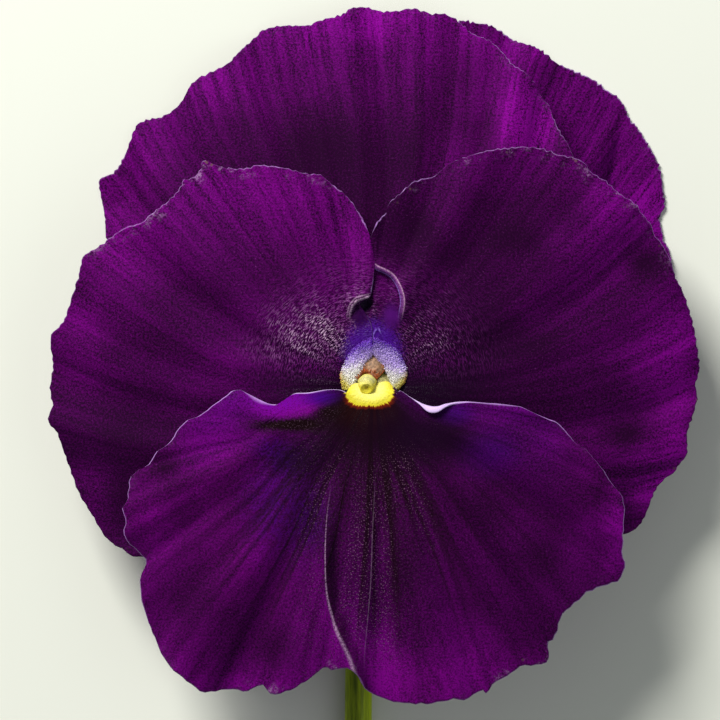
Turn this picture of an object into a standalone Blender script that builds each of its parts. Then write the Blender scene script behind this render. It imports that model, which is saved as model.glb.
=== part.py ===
"""Pansy flower, picked with its stem and laid face up on a surface.

The flower's axis stands upright and its face looks up, along +Z. The stem hooks round behind the
flower and runs along the surface, towards -Y. Two upper petals lie lowest and touch the surface, two
side petals lie over them, and the lower petal, with its nectar spur, lies over the side petals.
Sizes are in millimetres from the flower's axis and from the surface, until place() turns them into
metres and moves the origin under the middle of the whole flower.
"""

import math

import bmesh
import bpy
import numpy as np
from mathutils import Matrix, Vector

MM = 0.001

# Driving dimensions, in millimetres.
PETAL_THICKNESS = 0.6
RING_RADIUS = 2.4  # where the petals' narrow claws stand, round the stamens
RING_HEIGHT = 9.0
STEM_RADIUS = 1.45
STEM_SIDES = 12
HOOK_RADIUS = 4.6  # of the stem's bend behind the flower
RECEPTACLE_RADIUS = 2.6
RECEPTACLE_TOP = 8.5
STEM_END = (2.2, -80.0)  # the cut end
SEPAL_THICKNESS = 0.6
SEPAL_RING = 3.2
BEARD_GAP = 0.4
BEARD_THICKNESS = 0.6
TOUCH_DROOP = 3.0
TOUCH_REACH = 7.5
RIM_ROUNDING = 0.4  # how far the blade turns down where it meets the claw

# How finely the petals are cut into facets: steps up the claw, and steps out along the blade.
CLAW_STEPS = [0.0, 0.45, 0.8]
BLADE_STEPS = [0.0, 0.07, 0.16, 0.27, 0.4, 0.53, 0.65, 0.76, 0.85, 0.93, 1.0]
COARSE_STEPS = 5  # this many first steps take a quarter of the columns, and the next one half

PURPLE = (0.085, 0.002, 0.110)
DARK_PURPLE = (0.050, 0.001, 0.075)
GREEN = (0.115, 0.230, 0.030)
STEM_GREEN = (0.150, 0.280, 0.050)
WHITE = (0.80, 0.76, 0.88)
ORANGE_BROWN = (0.42, 0.12, 0.03)
PALE_YELLOW = (0.78, 0.76, 0.20)

# Each petal is a patch with four sides: its base at the throat, a side edge up each flank, and the
# free margin between them. Side edges run outwards, and the margin runs from the first to the second.
# rim, rise and fall shape its height along its length, and lean tips it, per millimetre of X and of Y.
# touch is where an upper petal droops on to the surface.
PETALS = {
    "petal_lower": {
        "columns": 48,
        "claw": (240, 300),
        "base": [(-2.6, -0.8), (0.0, -2.5), (2.6, -0.8)],
        "first_side": [(-3.6, -0.5), (-7.6, -0.9), (-9.1, -2.0), (-10.7, -1.7)],
        "margin": [
            (-13.0, -0.5), (-15.9, -2.1), (-19.4, -4.4), (-21.7, -6.3), (-24.3, -9.5),
            (-24.9, -12.3), (-24.7, -15.0), (-22.6, -17.6), (-22.9, -22.2), (-20.4, -27.9),
            (-16.8, -30.8), (-13.8, -30.6), (-10.9, -30.0), (-8.4, -30.6), (-4.7, -28.1),
            (-2.0, -28.6), (0.1, -30.9), (3.0, -31.8), (8.3, -31.3), (12.2, -29.8),
            (17.4, -27.7), (19.0, -22.9), (24.6, -19.6), (25.1, -12.6), (22.8, -8.1), (18.6, -3.9),
            (14.8, -2.2),
        ],
        "second_side": [(3.9, -1.3), (5.9, -2.7), (7.6, -2.2), (11.6, -1.7)],
        "rim": 16.2, "rise": 0.07, "fall": 0.0062, "lean": (0.015, 0.0),
        "ruffle": 0.75, "waves": 7.0, "phase": 0.6, "palate": 0.7,
    },
    "petal_side_left": {
        "columns": 44,
        "claw": (170, 230),
        "base": [(-0.5, 3.0), (-1.5, 1.3), (-2.45, -0.4)],
        "first_side": [(-0.3, 4.5), (-0.6, 6.4), (-0.9, 8.0), (-0.5, 9.8), (-0.35, 11.8)],
        "margin": [
            (-0.45, 14.2), (-2.2, 18.3), (-5.2, 20.9), (-9.4, 21.6), (-14.1, 21.6),
            (-16.8, 22.3), (-18.9, 19.8), (-21.9, 17.0), (-26.0, 14.9), (-29.0, 12.5),
            (-30.0, 8.8), (-32.0, 5.1), (-32.1, -0.4), (-32.2, -3.9), (-30.7, -7.0),
            (-28.0, -13.2), (-26.0, -15.9), (-23.4, -17.0),
        ],
        "second_side": [(-4.6, -2.6), (-7.0, -6.4), (-10.5, -10.8), (-15.0, -14.8), (-19.6, -17.0)],
        "rim": 14.9, "rise": 0.04, "fall": 0.0082, "lean": (0.0, 0.045),
        "ruffle": 0.6, "waves": 5.0, "phase": 2.1, "palate": 0.0,
    },
    "petal_side_right": {
        "columns": 44,
        "claw": (10, -50),
        "base": [(0.5, 3.0), (1.5, 1.3), (2.45, -0.4)],
        "first_side": [(0.65, 4.6), (0.85, 6.8), (0.9, 9.0), (0.65, 11.0)],
        "margin": [
            (0.4, 13.0), (0.75, 15.5), (2.2, 18.1), (4.2, 20.1), (7.5, 21.9), (11.8, 23.3),
            (15.6, 23.7), (18.7, 22.9), (21.5, 21.5), (26.2, 18.2), (28.9, 14.1), (30.3, 10.6),
            (32.1, 6.1), (32.9, 1.5), (32.6, -1.5), (31.5, -6.0), (29.4, -9.3), (27.4, -12.8),
            (25.4, -14.9),
        ],
        "second_side": [(4.6, -2.6), (7.6, -5.8), (11.8, -9.4), (16.6, -12.8), (21.5, -15.1)],
        "rim": 14.9, "rise": 0.02, "fall": 0.0078, "lean": (0.0, 0.040),
        "ruffle": 0.55, "waves": 5.0, "phase": 0.3, "palate": 0.0,
    },
    "petal_upper_left": {
        "columns": 44,
        "claw": (151, 97),
        "base": [(-2.2, 1.6), (-1.5, 2.4), (-0.45, 2.8)],
        "first_side": [(-6.0, 3.8), (-12.0, 6.5), (-19.0, 9.5), (-24.5, 11.8)],
        "margin": [
            (-27.2, 14.6), (-28.0, 20.6), (-25.2, 23.8), (-24.0, 26.2), (-20.4, 28.1),
            (-17.5, 31.8), (-13.4, 34.4), (-11.2, 36.3), (-6.6, 36.7), (-2.0, 38.5),
            (4.0, 38.0), (8.2, 37.5), (12.0, 35.2), (15.5, 31.6), (17.2, 28.9), (18.9, 25.2),
            (20.4, 22.4),
        ],
        "second_side": [(1.6, 4.6), (5.5, 6.8), (9.5, 9.2), (14.2, 12.8), (18.3, 17.3)],
        "rim": 12.1, "rise": 0.03, "fall": 0.0085, "lean": (0.09, 0.0), "touch": (-26.5, 20.5),
        "ruffle": 0.6, "waves": 6.0, "phase": 1.2, "palate": 0.0,
    },
    "petal_upper_right": {
        "columns": 28,
        "claw": (83, 29),
        "base": [(0.45, 2.8), (1.5, 2.4), (2.2, 1.6)],
        "first_side": [(1.6, 6.0), (3.2, 12.0), (5.0, 20.0), (6.6, 28.4)],
        "margin": [
            (7.8, 34.0), (9.6, 37.2), (13.4, 36.3), (18.3, 33.8), (22.9, 31.0), (25.8, 28.4),
            (28.4, 23.8), (30.0, 18.7), (29.6, 16.8), (30.7, 12.3),
        ],
        "second_side": [(6.5, 2.7), (11.0, 3.4), (18.0, 4.6), (25.5, 7.0)],
        "rim": 10.4, "rise": 0.0, "fall": 0.0070, "lean": (-0.055, 0.0), "touch": (28.5, 19.5),
        "ruffle": 0.5, "waves": 4.0, "phase": 0.2, "palate": 0.0,
    },
}

# The lower petal's pleat: a crest seen from above, steep on its right, from the throat to the margin.
PLEAT_CREST = [(-3.6, -9.0), (-4.5, -17.5), (-4.6, -20.0), (-3.7, -24.0), (-2.2, -27.5), (-1.4, -30.0)]
PLEAT_HEIGHT = 0.8
PLEAT_LEFT_WIDTH = 2.6
PLEAT_RIGHT_WIDTH = 1.2

# Angle round the axis, length, greatest width, and height at the tip of each sepal.
SEPALS = {
    "sepal_top": (90, 12.5, 4.8, 6.4),
    "sepal_upper_left": (166, 13.5, 4.4, 8.6),
    "sepal_upper_right": (14, 13.0, 4.4, 6.2),
    "sepal_lower_left": (219, 12.0, 4.2, 10.6),
    "sepal_lower_right": (321, 12.4, 4.2, 10.8),
}

STAMENS = {
    "stamen_top": 90,
    "stamen_side_left": 162,
    "stamen_lower_left": 234,
    "stamen_lower_right": 306,
    "stamen_side_right": 18,
}


def material(name, colour, roughness):
    """A plain finish, not metallic."""
    made = bpy.data.materials.new(name)
    made.use_nodes = True
    shader = made.node_tree.nodes["Principled BSDF"]
    shader.inputs["Base Color"].default_value = (*colour, 1.0)
    shader.inputs["Roughness"].default_value = roughness
    shader.inputs["Metallic"].default_value = 0.0
    made.diffuse_color = (*colour, 1.0)
    return made


def new_object(name, points, faces, finish):
    """An object from points in millimetres, with its faces turned outwards and shaded smooth."""
    mesh = bpy.data.meshes.new(name)
    mesh.from_pydata([Vector(p) * MM for p in points], [], [list(f) for f in faces])
    shell = bmesh.new()
    shell.from_mesh(mesh)
    if shell.calc_volume(signed=True) < 0:
        bmesh.ops.reverse_faces(shell, faces=shell.faces)
    shell.to_mesh(mesh)
    shell.free()
    mesh.shade_smooth()
    mesh.set_sharp_from_angle(angle=math.radians(50))
    mesh.materials.append(finish)
    made = bpy.data.objects.new(name, mesh)
    bpy.context.collection.objects.link(made)
    return made


def smoothstep(low, high, value):
    """0 up to low, 1 from high, and a smooth ramp between them."""
    share = np.clip((value - low) / (high - low), 0.0, 1.0)
    return share * share * (3.0 - 2.0 * share)


def curve_through(points, shares):
    """Points on a smooth curve through the given ones, at shares of its length from 0 to 1."""
    knots = np.array(points, float)
    ends = np.vstack([2 * knots[0] - knots[1], knots, 2 * knots[-1] - knots[-2]])
    fine = []
    for i in range(1, len(ends) - 2):
        before, a, b, after = ends[i - 1 : i + 3]
        t = np.linspace(0.0, 1.0, 16, endpoint=False)[:, None]
        ahead, behind = (b - before) / 2, (after - a) / 2
        fine.append(
            a * (2 * t**3 - 3 * t**2 + 1)
            + b * (3 * t**2 - 2 * t**3)
            + ahead * (t**3 - 2 * t**2 + t)
            + behind * (t**3 - t**2)
        )
    line = np.vstack([*fine, knots[-1:]])
    along = np.concatenate([[0], np.cumsum(np.linalg.norm(np.diff(line, axis=0), axis=1))])
    at = np.asarray(shares) * along[-1]
    return np.stack([np.interp(at, along, line[:, k]) for k in range(line.shape[1])], axis=-1)


def blade_plan(petal, u, v):
    """The blade seen from above: a patch filled in between the petal's four sides. v starts at 0.

    The margin's share grows slowly at first, so that the patch doesn't fold at a hollow side edge.
    """
    base = curve_through(petal["base"], u)
    margin = curve_through(petal["margin"], u)
    first = curve_through([base[0], *petal["first_side"], margin[0]], v)
    second = curve_through([base[-1], *petal["second_side"], margin[-1]], v)
    across, along = u[None, :, None], (0.4 * v + 0.6 * v**3)[:, None, None]
    between_ends = (1 - along) * base + along * margin
    between_sides = (1 - across) * first[:, None] + across * second[:, None]
    corners = (1 - along) * ((1 - across) * base[0] + across * base[-1]) + along * (
        (1 - across) * margin[0] + across * margin[-1]
    )
    return between_ends + between_sides - corners


def arch_height(petal, plan):
    """Height of the blade's middle without its waves: an arch from the rim outwards, and a lean."""
    x, y = plan[..., 0], plan[..., 1]
    out = np.maximum(np.hypot(x, y) - 2.6, 0.0)
    arch = petal["rim"] + petal["rise"] * out - petal["fall"] * out**2
    lean = (petal["lean"][0] * x + petal["lean"][1] * y) * smoothstep(2.0, 10.0, out)
    return arch + lean - RIM_ROUNDING * (1.0 - smoothstep(0.0, 1.6, out))


def blade_height(petal, plan, u, v):
    """Height of the blade's middle: its arch, a ruffled margin, the pleat and the droop that rests."""
    x, y = plan[..., 0], plan[..., 1]
    turn = 2 * math.pi * petal["waves"] * u[None, :] + petal["phase"]
    wave = np.sin(turn) + 0.5 * np.sin(1.7 * turn + 1.0)
    ruffle = petal["ruffle"] * wave * smoothstep(0.35, 1.0, v)[:, None]
    height = arch_height(petal, plan) + ruffle
    if "touch" in petal:
        away = np.hypot(x - petal["touch"][0], y - petal["touch"][1])
        height = height - TOUCH_DROOP * np.exp(-((away / TOUCH_REACH) ** 2))
    if petal["palate"] > 0:
        height = height + pleat_height(x, y)
    return np.maximum(height, PETAL_THICKNESS / 2)


def pleat_height(x, y):
    """Height that the pleat adds to the lower petal: a crest that falls off to either side."""
    crest = np.array(PLEAT_CREST)[::-1]
    aside = x - np.interp(y, crest[:, 1], crest[:, 0])
    width = np.where(aside < 0, PLEAT_LEFT_WIDTH, PLEAT_RIGHT_WIDTH)
    return PLEAT_HEIGHT * np.exp(-((aside / width) ** 2)) * smoothstep(7.0, 14.0, -y)


def petal_middle(petal):
    """Points of a petal's middle surface, rows from the claw's foot to the margin."""
    u = np.linspace(0.0, 1.0, petal["columns"] + 1)
    v = np.array(BLADE_STEPS)
    plan = blade_plan(petal, u, v)
    blade = np.dstack([plan, blade_height(petal, plan, u, v)])
    angle = np.radians(petal["claw"][0] + (petal["claw"][1] - petal["claw"][0]) * u)
    foot = np.stack([np.cos(angle), np.sin(angle)], axis=-1) * RING_RADIUS
    rows = []
    for step in CLAW_STEPS:
        spread = smoothstep(0.45, 1.0, step)
        at = foot * (1 - spread) + blade[0, :, :2] * spread
        at = at * (1.0 - petal["palate"] / RING_RADIUS * math.sin(math.pi * step**4))
        height = RING_HEIGHT + (blade[0, :, 2] - RING_HEIGHT) * step
        rows.append(np.column_stack([at, height]))
    return np.concatenate([np.array(rows), blade])


def surface_normals(grid):
    """Unit normals of a grid of points, upwards on the blade."""
    along = np.gradient(grid, axis=0)
    across = np.gradient(grid, axis=1)
    normal = np.cross(across, along)
    normal /= np.linalg.norm(normal, axis=-1, keepdims=True)
    upright = 1.0 if normal[-1, :, 2].mean() > 0 else -1.0
    return normal * upright


def sheet_faces(kept):
    """Triangles of a closed sheet: two skins cut alike, and a rim. kept lists each row's columns."""
    start = np.concatenate([[0], np.cumsum([len(row) for row in kept])])
    skin = int(start[-1])
    place_of = [{c: int(start[r]) + k for k, c in enumerate(row)} for r, row in enumerate(kept)]
    upper = []
    for r in range(len(kept) - 1):
        here, there = place_of[r], place_of[r + 1]
        for c, after in zip(kept[r], kept[r][1:]):
            a, b, d, e = here[c], here[after], there[c], there[after]
            if len(kept[r]) == len(kept[r + 1]):
                upper += [(a, b, e), (a, e, d)]
            else:
                middle = there[(c + after) // 2]
                upper += [(a, b, middle), (b, e, middle), (middle, d, a)]
    faces = upper + [tuple(i + skin for i in reversed(corner)) for corner in upper]
    last = len(kept) - 1
    ring = [place_of[0][c] for c in kept[0]] + [place_of[r][kept[r][-1]] for r in range(1, last)]
    ring += [place_of[last][c] for c in reversed(kept[last])]
    ring += [place_of[r][0] for r in range(last - 1, 0, -1)]
    for here, there in zip(ring, ring[1:] + ring[:1]):
        faces += [(here, here + skin, there + skin), (here, there + skin, there)]
    return faces


def sheet(name, lower, upper, kept, finish):
    """A closed sheet between two grids of points, with the columns kept in each row."""
    skins = []
    for grid in (upper, lower):
        skins += [grid[r, c] for r, row in enumerate(kept) for c in row]
    return new_object(name, skins, sheet_faces(kept), finish)


def even_sheet(name, middle, thickness, finish):
    """A closed sheet of this thickness round a grid of points, with all of its columns kept."""
    offset = surface_normals(middle) * thickness / 2
    kept = [list(range(middle.shape[1]))] * middle.shape[0]
    return sheet(name, middle - offset, middle + offset, kept, finish)


def tube_points(path, radii, sides, start_angle=0.0):
    """Rings of points round a path that lies close to one upright plane, kept untwisted."""
    path = np.array(path, float)
    ahead = np.gradient(path, axis=0)
    ahead /= np.linalg.norm(ahead, axis=1, keepdims=True)
    side = np.cross(ahead, [1.0, 0.0, 0.0])
    side /= np.linalg.norm(side, axis=1, keepdims=True)
    other = np.cross(side, ahead)
    turn = start_angle + np.arange(sides) * 2 * math.pi / sides
    ring = side[:, None] * np.cos(turn)[None, :, None] + other[:, None] * np.sin(turn)[None, :, None]
    return path[:, None] + ring * np.array(radii, float)[:, None, None]


def tube(name, path, radii, sides, finish, start_angle=0.0):
    """A closed tube round a path, with a radius for each of its points."""
    rings = tube_points(path, radii, sides, start_angle)
    count = len(rings)
    faces = []
    for r in range(count - 1):
        for s in range(sides):
            a, b = r * sides + s, r * sides + (s + 1) % sides
            faces.append((a, b, b + sides, a + sides))
    points = np.vstack([rings.reshape(-1, 3), path[0], path[-1]])
    first, last = count * sides, count * sides + 1
    for s in range(sides):
        faces.append((first, (s + 1) % sides, s))
        faces.append((last, (count - 1) * sides + s, (count - 1) * sides + (s + 1) % sides))
    return new_object(name, points, faces, finish)


def fuse(body, helpers):
    """Joins the helpers to the body with one Boolean union, and removes them."""
    group = bpy.data.collections.new(body.name + "_repeats")
    bpy.context.scene.collection.children.link(group)
    for helper in helpers:
        bpy.context.collection.objects.unlink(helper)
        group.objects.link(helper)
    union = body.modifiers.new("union", "BOOLEAN")
    union.operation = "UNION"
    union.solver = "EXACT"
    union.operand_type = "COLLECTION"
    union.collection = group
    graph = bpy.context.evaluated_depsgraph_get()
    joined = bpy.data.meshes.new_from_object(body.evaluated_get(graph))
    body.modifiers.clear()
    body.data = joined
    joined.shade_smooth()
    joined.set_sharp_from_angle(angle=math.radians(50))
    for helper in helpers:
        bpy.data.objects.remove(helper)
    bpy.data.collections.remove(group)


def stem_path():
    """The stem's middle line, from the receptacle down, round the hook and along the surface."""
    rest = STEM_RADIUS * math.cos(math.pi / STEM_SIDES)
    turn_height = rest + HOOK_RADIUS
    path = [(0.0, 0.0, RECEPTACLE_TOP), (0.0, 0.0, 7.6), (0.0, 0.0, 6.9)]
    for degrees in np.linspace(0.0, 90.0, 8):
        bend = math.radians(degrees)
        path.append((0.0, HOOK_RADIUS * (math.cos(bend) - 1), turn_height - HOOK_RADIUS * math.sin(bend)))
    plan = [(0.0, -HOOK_RADIUS), (-0.7, -14.0), (-1.4, -30.0), (-1.2, -48.0), (0.2, -66.0), STEM_END]
    along = curve_through(plan, np.linspace(0.0, 1.0, 13))
    path += [(x, y, rest) for x, y in along[1:]]
    return path


def build_stem(finish):
    """The flower stalk with the receptacle at its top, and two small bracts fused to its sides."""
    path = stem_path()
    radii = [RECEPTACLE_RADIUS, RECEPTACLE_RADIUS, 1.75] + [STEM_RADIUS] * (len(path) - 3)
    stem = tube("stem", path, radii, STEM_SIDES, finish, math.pi / STEM_SIDES)
    bracts = []
    for side, y in ((-1, -15.0), (1, -17.5)):
        x = -0.75
        line = [(x + side * 0.8, y, 1.9), (x + side * 1.9, y - 1.0, 2.1), (x + side * 2.5, y - 3.4, 2.0)]
        bracts.append(tube(f"bract_{side}", line, [0.75, 0.55, 0.12], 5, finish))
    fuse(stem, bracts)


def build_petal(name, petal, finish):
    """One petal: its claw rising from the receptacle, and its blade."""
    middle = petal_middle(petal)
    offset = surface_normals(middle) * PETAL_THICKNESS / 2
    kept = []
    for row in range(len(middle)):
        stride = 4 if row < COARSE_STEPS else 2 if row == COARSE_STEPS else 1
        kept.append(list(range(0, petal["columns"] + 1, stride)))
    return sheet(name, middle - offset, middle + offset, kept, finish)


def build_spur(finish):
    """The lower petal's nectar spur, a blunt pouch that hangs behind it inside the stem's hook."""
    path = [
        (0.0, -2.75, 10.9), (0.0, -3.2, 10.2), (0.0, -3.9, 9.0), (0.0, -4.35, 7.6), (0.0, -4.5, 6.2),
        (0.0, -4.45, 5.0), (0.0, -4.35, 4.2), (0.0, -4.3, 3.85),
    ]
    return tube("spur", path, [0.5, 1.0, 1.2, 1.3, 1.3, 1.15, 0.75, 0.25], 10, finish)


def build_sepal(name, angle, length, width, tip_height, finish):
    """A green sepal: a lance-shaped blade under the petals, and an ear that points back past its seat."""
    profile = [
        (SEPAL_RING + 1.2, 4.2), (SEPAL_RING + 0.5, 5.6), (SEPAL_RING, 7.4), (SEPAL_RING + 0.5, 8.3),
        (SEPAL_RING + 2.6, 8.7), (length * 0.62, (8.7 + tip_height) / 2 + 0.5), (length, tip_height),
    ]
    shares = np.linspace(0.0, 1.0, 13)
    middle = curve_through(profile, shares)
    seat = 0.30
    ear = 0.34 + 0.12 * np.sin(math.pi * shares / seat)
    blade = 0.40 + 0.60 * np.sin(math.pi * np.clip((shares - seat) / (1 - seat), 0, 1) ** 0.8)
    taper = 1.0 - smoothstep(0.66, 1.02, shares) * 0.78
    half_width = width / 2 * np.where(shares < seat, ear, blade) * taper
    across = np.linspace(-1.0, 1.0, 5)
    heading = math.radians(angle)
    outwards = np.array([math.cos(heading), math.sin(heading), 0.0])
    sideways = np.array([-math.sin(heading), math.cos(heading), 0.0])
    cup = 0.22 * half_width * smoothstep(seat, 0.6, shares)
    grid = (
        middle[:, None, :1] * outwards
        + half_width[:, None, None] * across[None, :, None] * sideways
        + (middle[:, None, 1:] + (cup[:, None] * across[None, :] ** 2)[..., None]) * [0.0, 0.0, 1.0]
    )
    return even_sheet(name, grid, SEPAL_THICKNESS, finish)


def build_stamen(name, angle, finish):
    """A stamen: a flat anther against the ovary, with a tongue that leans in over it."""
    heading = math.radians(angle)
    outwards = np.array([math.cos(heading), math.sin(heading), 0.0])
    sideways = np.array([-math.sin(heading), math.cos(heading), 0.0])
    steps = np.array([0.0, 0.2, 0.45, 0.7, 0.88, 1.0])
    distance = np.array([1.45, 1.46, 1.43, 1.30, 1.16, 1.05])
    half_width = np.array([0.30, 0.52, 0.56, 0.50, 0.36, 0.14])
    half_depth = np.array([0.14, 0.28, 0.28, 0.22, 0.15, 0.08])
    height = 8.9 + 4.0 * steps
    turn = np.arange(8) * 2 * math.pi / 8
    lean = np.array([0.0, 0.12, 0.0])
    points, faces = [], []
    for k in range(len(steps)):
        middle = outwards * distance[k] + np.array([0.0, 0.0, height[k]]) + lean * steps[k]
        for t in turn:
            points.append(
                middle + sideways * half_width[k] * math.cos(t) + outwards * half_depth[k] * math.sin(t)
            )
    for k in range(len(steps) - 1):
        for s in range(8):
            a, b = k * 8 + s, k * 8 + (s + 1) % 8
            faces.append((a, b, b + 8, a + 8))
    faces.append(tuple(range(7, -1, -1)))
    faces.append(tuple(range(len(points) - 8, len(points))))
    return new_object(name, points, faces, finish)


def build_pistil(finish):
    """Ovary, bent style and round stigma in one, with a shallow hollow in the stigma's lower side."""
    path = [
        (0.0, 0.05, 8.9), (0.0, 0.1, 9.3), (0.0, 0.15, 10.2), (0.0, 0.25, 11.1), (0.0, 0.35, 11.8),
        (-0.05, 0.45, 12.6), (-0.15, 0.5, 13.4), (-0.32, 0.42, 14.1), (-0.42, 0.3, 14.6),
        (-0.48, 0.22, 15.0), (-0.52, 0.12, 15.5), (-0.54, 0.04, 16.0), (-0.55, 0.0, 16.35),
    ]
    radii = [0.45, 0.70, 0.75, 0.60, 0.34, 0.28, 0.28, 0.30, 0.45, 0.75, 0.9, 0.70, 0.30]
    pistil = tube("pistil", path, radii, 12, finish)
    hollow_middle = Vector((-0.65, -0.65, 16.05)) * MM
    for vertex in pistil.data.vertices:
        reach = (vertex.co - hollow_middle).length / MM
        if reach < 0.55:
            vertex.co.y += 0.30 * MM * (1.0 - reach / 0.55)
    return pistil


def build_beard(name, petal, finish):
    """The cushion of papillae on a side petal's base: a lumpy pad, raised just off the petal."""
    base = curve_through(petal["base"], np.linspace(0.05, 0.74, 13))
    reach = np.hypot(base[:, 0], base[:, 1])
    outwards = np.linspace(0.15, 1.25, 5)
    plan = base[None] * (1.0 + outwards[:, None] / reach[None, :])[..., None]
    lower = arch_height(petal, plan) + PETAL_THICKNESS / 2 + BEARD_GAP
    lumps = 0.5 * (np.arange(5)[:, None] % 2) * (np.arange(13)[None, :] % 2)
    skins = [np.dstack([plan, height]) for height in (lower, lower + BEARD_THICKNESS + lumps)]
    return sheet(name, *skins, [list(range(13))] * 5, finish)


def place():
    """Moves every piece so that the origin is on the surface, under the middle of the whole flower."""
    corners = np.array([v.co for o in bpy.data.objects for v in o.data.vertices])
    lowest, highest = corners.min(axis=0), corners.max(axis=0)
    middle = (lowest + highest) / 2
    shift = Matrix.Translation((-middle[0], -middle[1], -lowest[2]))
    for made in bpy.data.objects:
        made.data.transform(shift)


def main():
    for old in list(bpy.data.objects):
        bpy.data.objects.remove(old)
    front = material("petal_purple", PURPLE, 0.7)
    back = material("petal_dark_purple", DARK_PURPLE, 0.7)
    green = material("sepal_green", GREEN, 0.6)
    stalk = material("stem_green", STEM_GREEN, 0.5)
    white = material("beard_white", WHITE, 0.8)
    brown = material("stamen_brown", ORANGE_BROWN, 0.6)
    yellow = material("stigma_yellow", PALE_YELLOW, 0.4)
    build_stem(stalk)
    for name, (angle, length, width, tip_height) in SEPALS.items():
        build_sepal(name, angle, length, width, tip_height, green)
    for name, petal in PETALS.items():
        made = build_petal(name, petal, back if "upper" in name else front)
        if name == "petal_lower":
            fuse(made, [build_spur(front)])
    for name, angle in STAMENS.items():
        build_stamen(name, angle, brown)
    build_pistil(yellow)
    build_beard("beard_left", PETALS["petal_side_left"], white)
    build_beard("beard_right", PETALS["petal_side_right"], white)
    place()


main()
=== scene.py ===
# %% [markdown]
# # A pansy, picked and laid face up
#
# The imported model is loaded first. It fixes where every part of the flower is, and each piece below is
# built round it. All shapes are worked out in millimetres from the flower's own axis, the upright line
# through the ovary, because a flower's parts are arranged round that line.

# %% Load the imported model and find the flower's axis
import functools
import math

import bpy
import numpy as np
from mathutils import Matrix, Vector


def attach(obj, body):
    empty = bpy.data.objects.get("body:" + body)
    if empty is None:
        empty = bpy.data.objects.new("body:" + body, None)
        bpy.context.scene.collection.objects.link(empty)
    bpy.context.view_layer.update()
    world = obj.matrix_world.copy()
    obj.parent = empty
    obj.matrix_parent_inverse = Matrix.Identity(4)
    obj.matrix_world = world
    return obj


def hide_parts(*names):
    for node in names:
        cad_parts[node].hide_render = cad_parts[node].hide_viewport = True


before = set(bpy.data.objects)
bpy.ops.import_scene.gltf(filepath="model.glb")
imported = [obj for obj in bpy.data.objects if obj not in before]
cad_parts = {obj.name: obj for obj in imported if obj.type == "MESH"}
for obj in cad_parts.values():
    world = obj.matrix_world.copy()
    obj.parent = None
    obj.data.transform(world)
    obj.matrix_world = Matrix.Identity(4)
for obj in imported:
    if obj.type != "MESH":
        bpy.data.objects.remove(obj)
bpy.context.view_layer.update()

MM = 0.001

stem_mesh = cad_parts["stem"].data
stem_points = np.empty(len(stem_mesh.vertices) * 3)
stem_mesh.vertices.foreach_get("co", stem_points)
stem_points = stem_points.reshape(-1, 3)
receptacle_rim = stem_points[stem_points[:, 2] > stem_points[:, 2].max() - 1e-5]
RECEPTACLE_TOP = 8.5
AXIS = receptacle_rim.mean(axis=0) - np.array([0, 0, RECEPTACLE_TOP * MM])
print("flower's axis at", np.round(AXIS / MM, 2), "mm")

# %% [markdown]
# ## Curves and ramps
#
# A petal's outline is given by as many points as its shape needs, and a smooth curve is drawn through
# them. The curve used here passes through every point and leaves each one in the direction of its two
# neighbours, so a tip or a notch stays where it was measured. The same curve, drawn through whole rows
# of points at once, makes a surface.


# %% Curves and ramps
def listed(text):
    """Rows of numbers from a text: spaces between the numbers of a row, commas between the rows."""
    return np.array([row.split() for row in text.split(",")], float)


def smoothstep(low, high, value):
    """0 at low, 1 at high, and between them 3t^2 - 2t^3, where t is the share of the way."""
    share = np.clip((np.asarray(value, float) - low) / (high - low), 0, 1)
    return share * share * (3 - 2 * share)


def bell(distance, width):
    """1 at no distance, falling off on both sides as exp(-(distance / width)^2)."""
    return np.exp(-((distance / width) ** 2))


def loft(rows, steps):
    """A grid through a few rows of points, with this many steps between one row and the next.

    Each stretch is a cubic in t, whose slope at either end is half the step between that end's
    neighbours: a(2t^3 - 3t^2 + 1) + b(3t^2 - 2t^3) + slope_a(t^3 - 2t^2 + t) + slope_b(t^3 - t^2).
    """
    knots = np.array(rows, float)
    ends = np.concatenate([2 * knots[:1] - knots[1:2], knots, 2 * knots[-1:] - knots[-2:-1]])
    before, a, b, after = ends[:-3, None], ends[1:-2, None], ends[2:-1, None], ends[3:, None]
    t = np.linspace(0, 1, steps, endpoint=False).reshape(1, -1, *[1] * (knots.ndim - 1))
    grid = a * (2 * t**3 - 3 * t**2 + 1) + b * (3 * t**2 - 2 * t**3)
    grid = grid + (b - before) / 2 * (t**3 - 2 * t**2 + t) + (after - a) / 2 * (t**3 - t**2)
    return np.concatenate([grid.reshape(-1, *knots.shape[1:]), knots[-1:]])


def curve_through(points, shares):
    """Points on the smooth curve through the given ones, at shares of its length from 0 to 1."""
    line = loft(points, 16)
    along = np.concatenate([[0], np.cumsum(np.linalg.norm(np.diff(line, axis=0), axis=1))])
    at = np.asarray(shares) * along[-1]
    return np.stack([np.interp(at, along, line[:, k]) for k in range(line.shape[1])], axis=-1)


def beside(x, y, line):
    """How far each point lies to the right of a line, and at what share of the line's length.

    The nearest of the line's short steps is found for every point at once, from the point's place
    along the step and across it.
    """
    fine = curve_through(line, np.linspace(0, 1, 41))
    start, step = fine[:-1], np.diff(fine, axis=0)
    long = (step**2).sum(axis=1)
    from_start = np.stack([x, y], axis=-1)[..., None, :] - start
    share = np.clip((from_start * step).sum(axis=-1) / long, 0, 1)
    across = from_start - share[..., None] * step
    distance = np.linalg.norm(across, axis=-1)
    nearest = distance.argmin(axis=-1)[..., None]
    side = step[:, 1] * across[..., 0] - step[:, 0] * across[..., 1]
    side = np.sign(np.take_along_axis(side, nearest, -1)[..., 0])
    place = (nearest[..., 0] + np.take_along_axis(share, nearest, -1)[..., 0]) / len(step)
    return np.take_along_axis(distance, nearest, -1)[..., 0] * side, place


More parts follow.
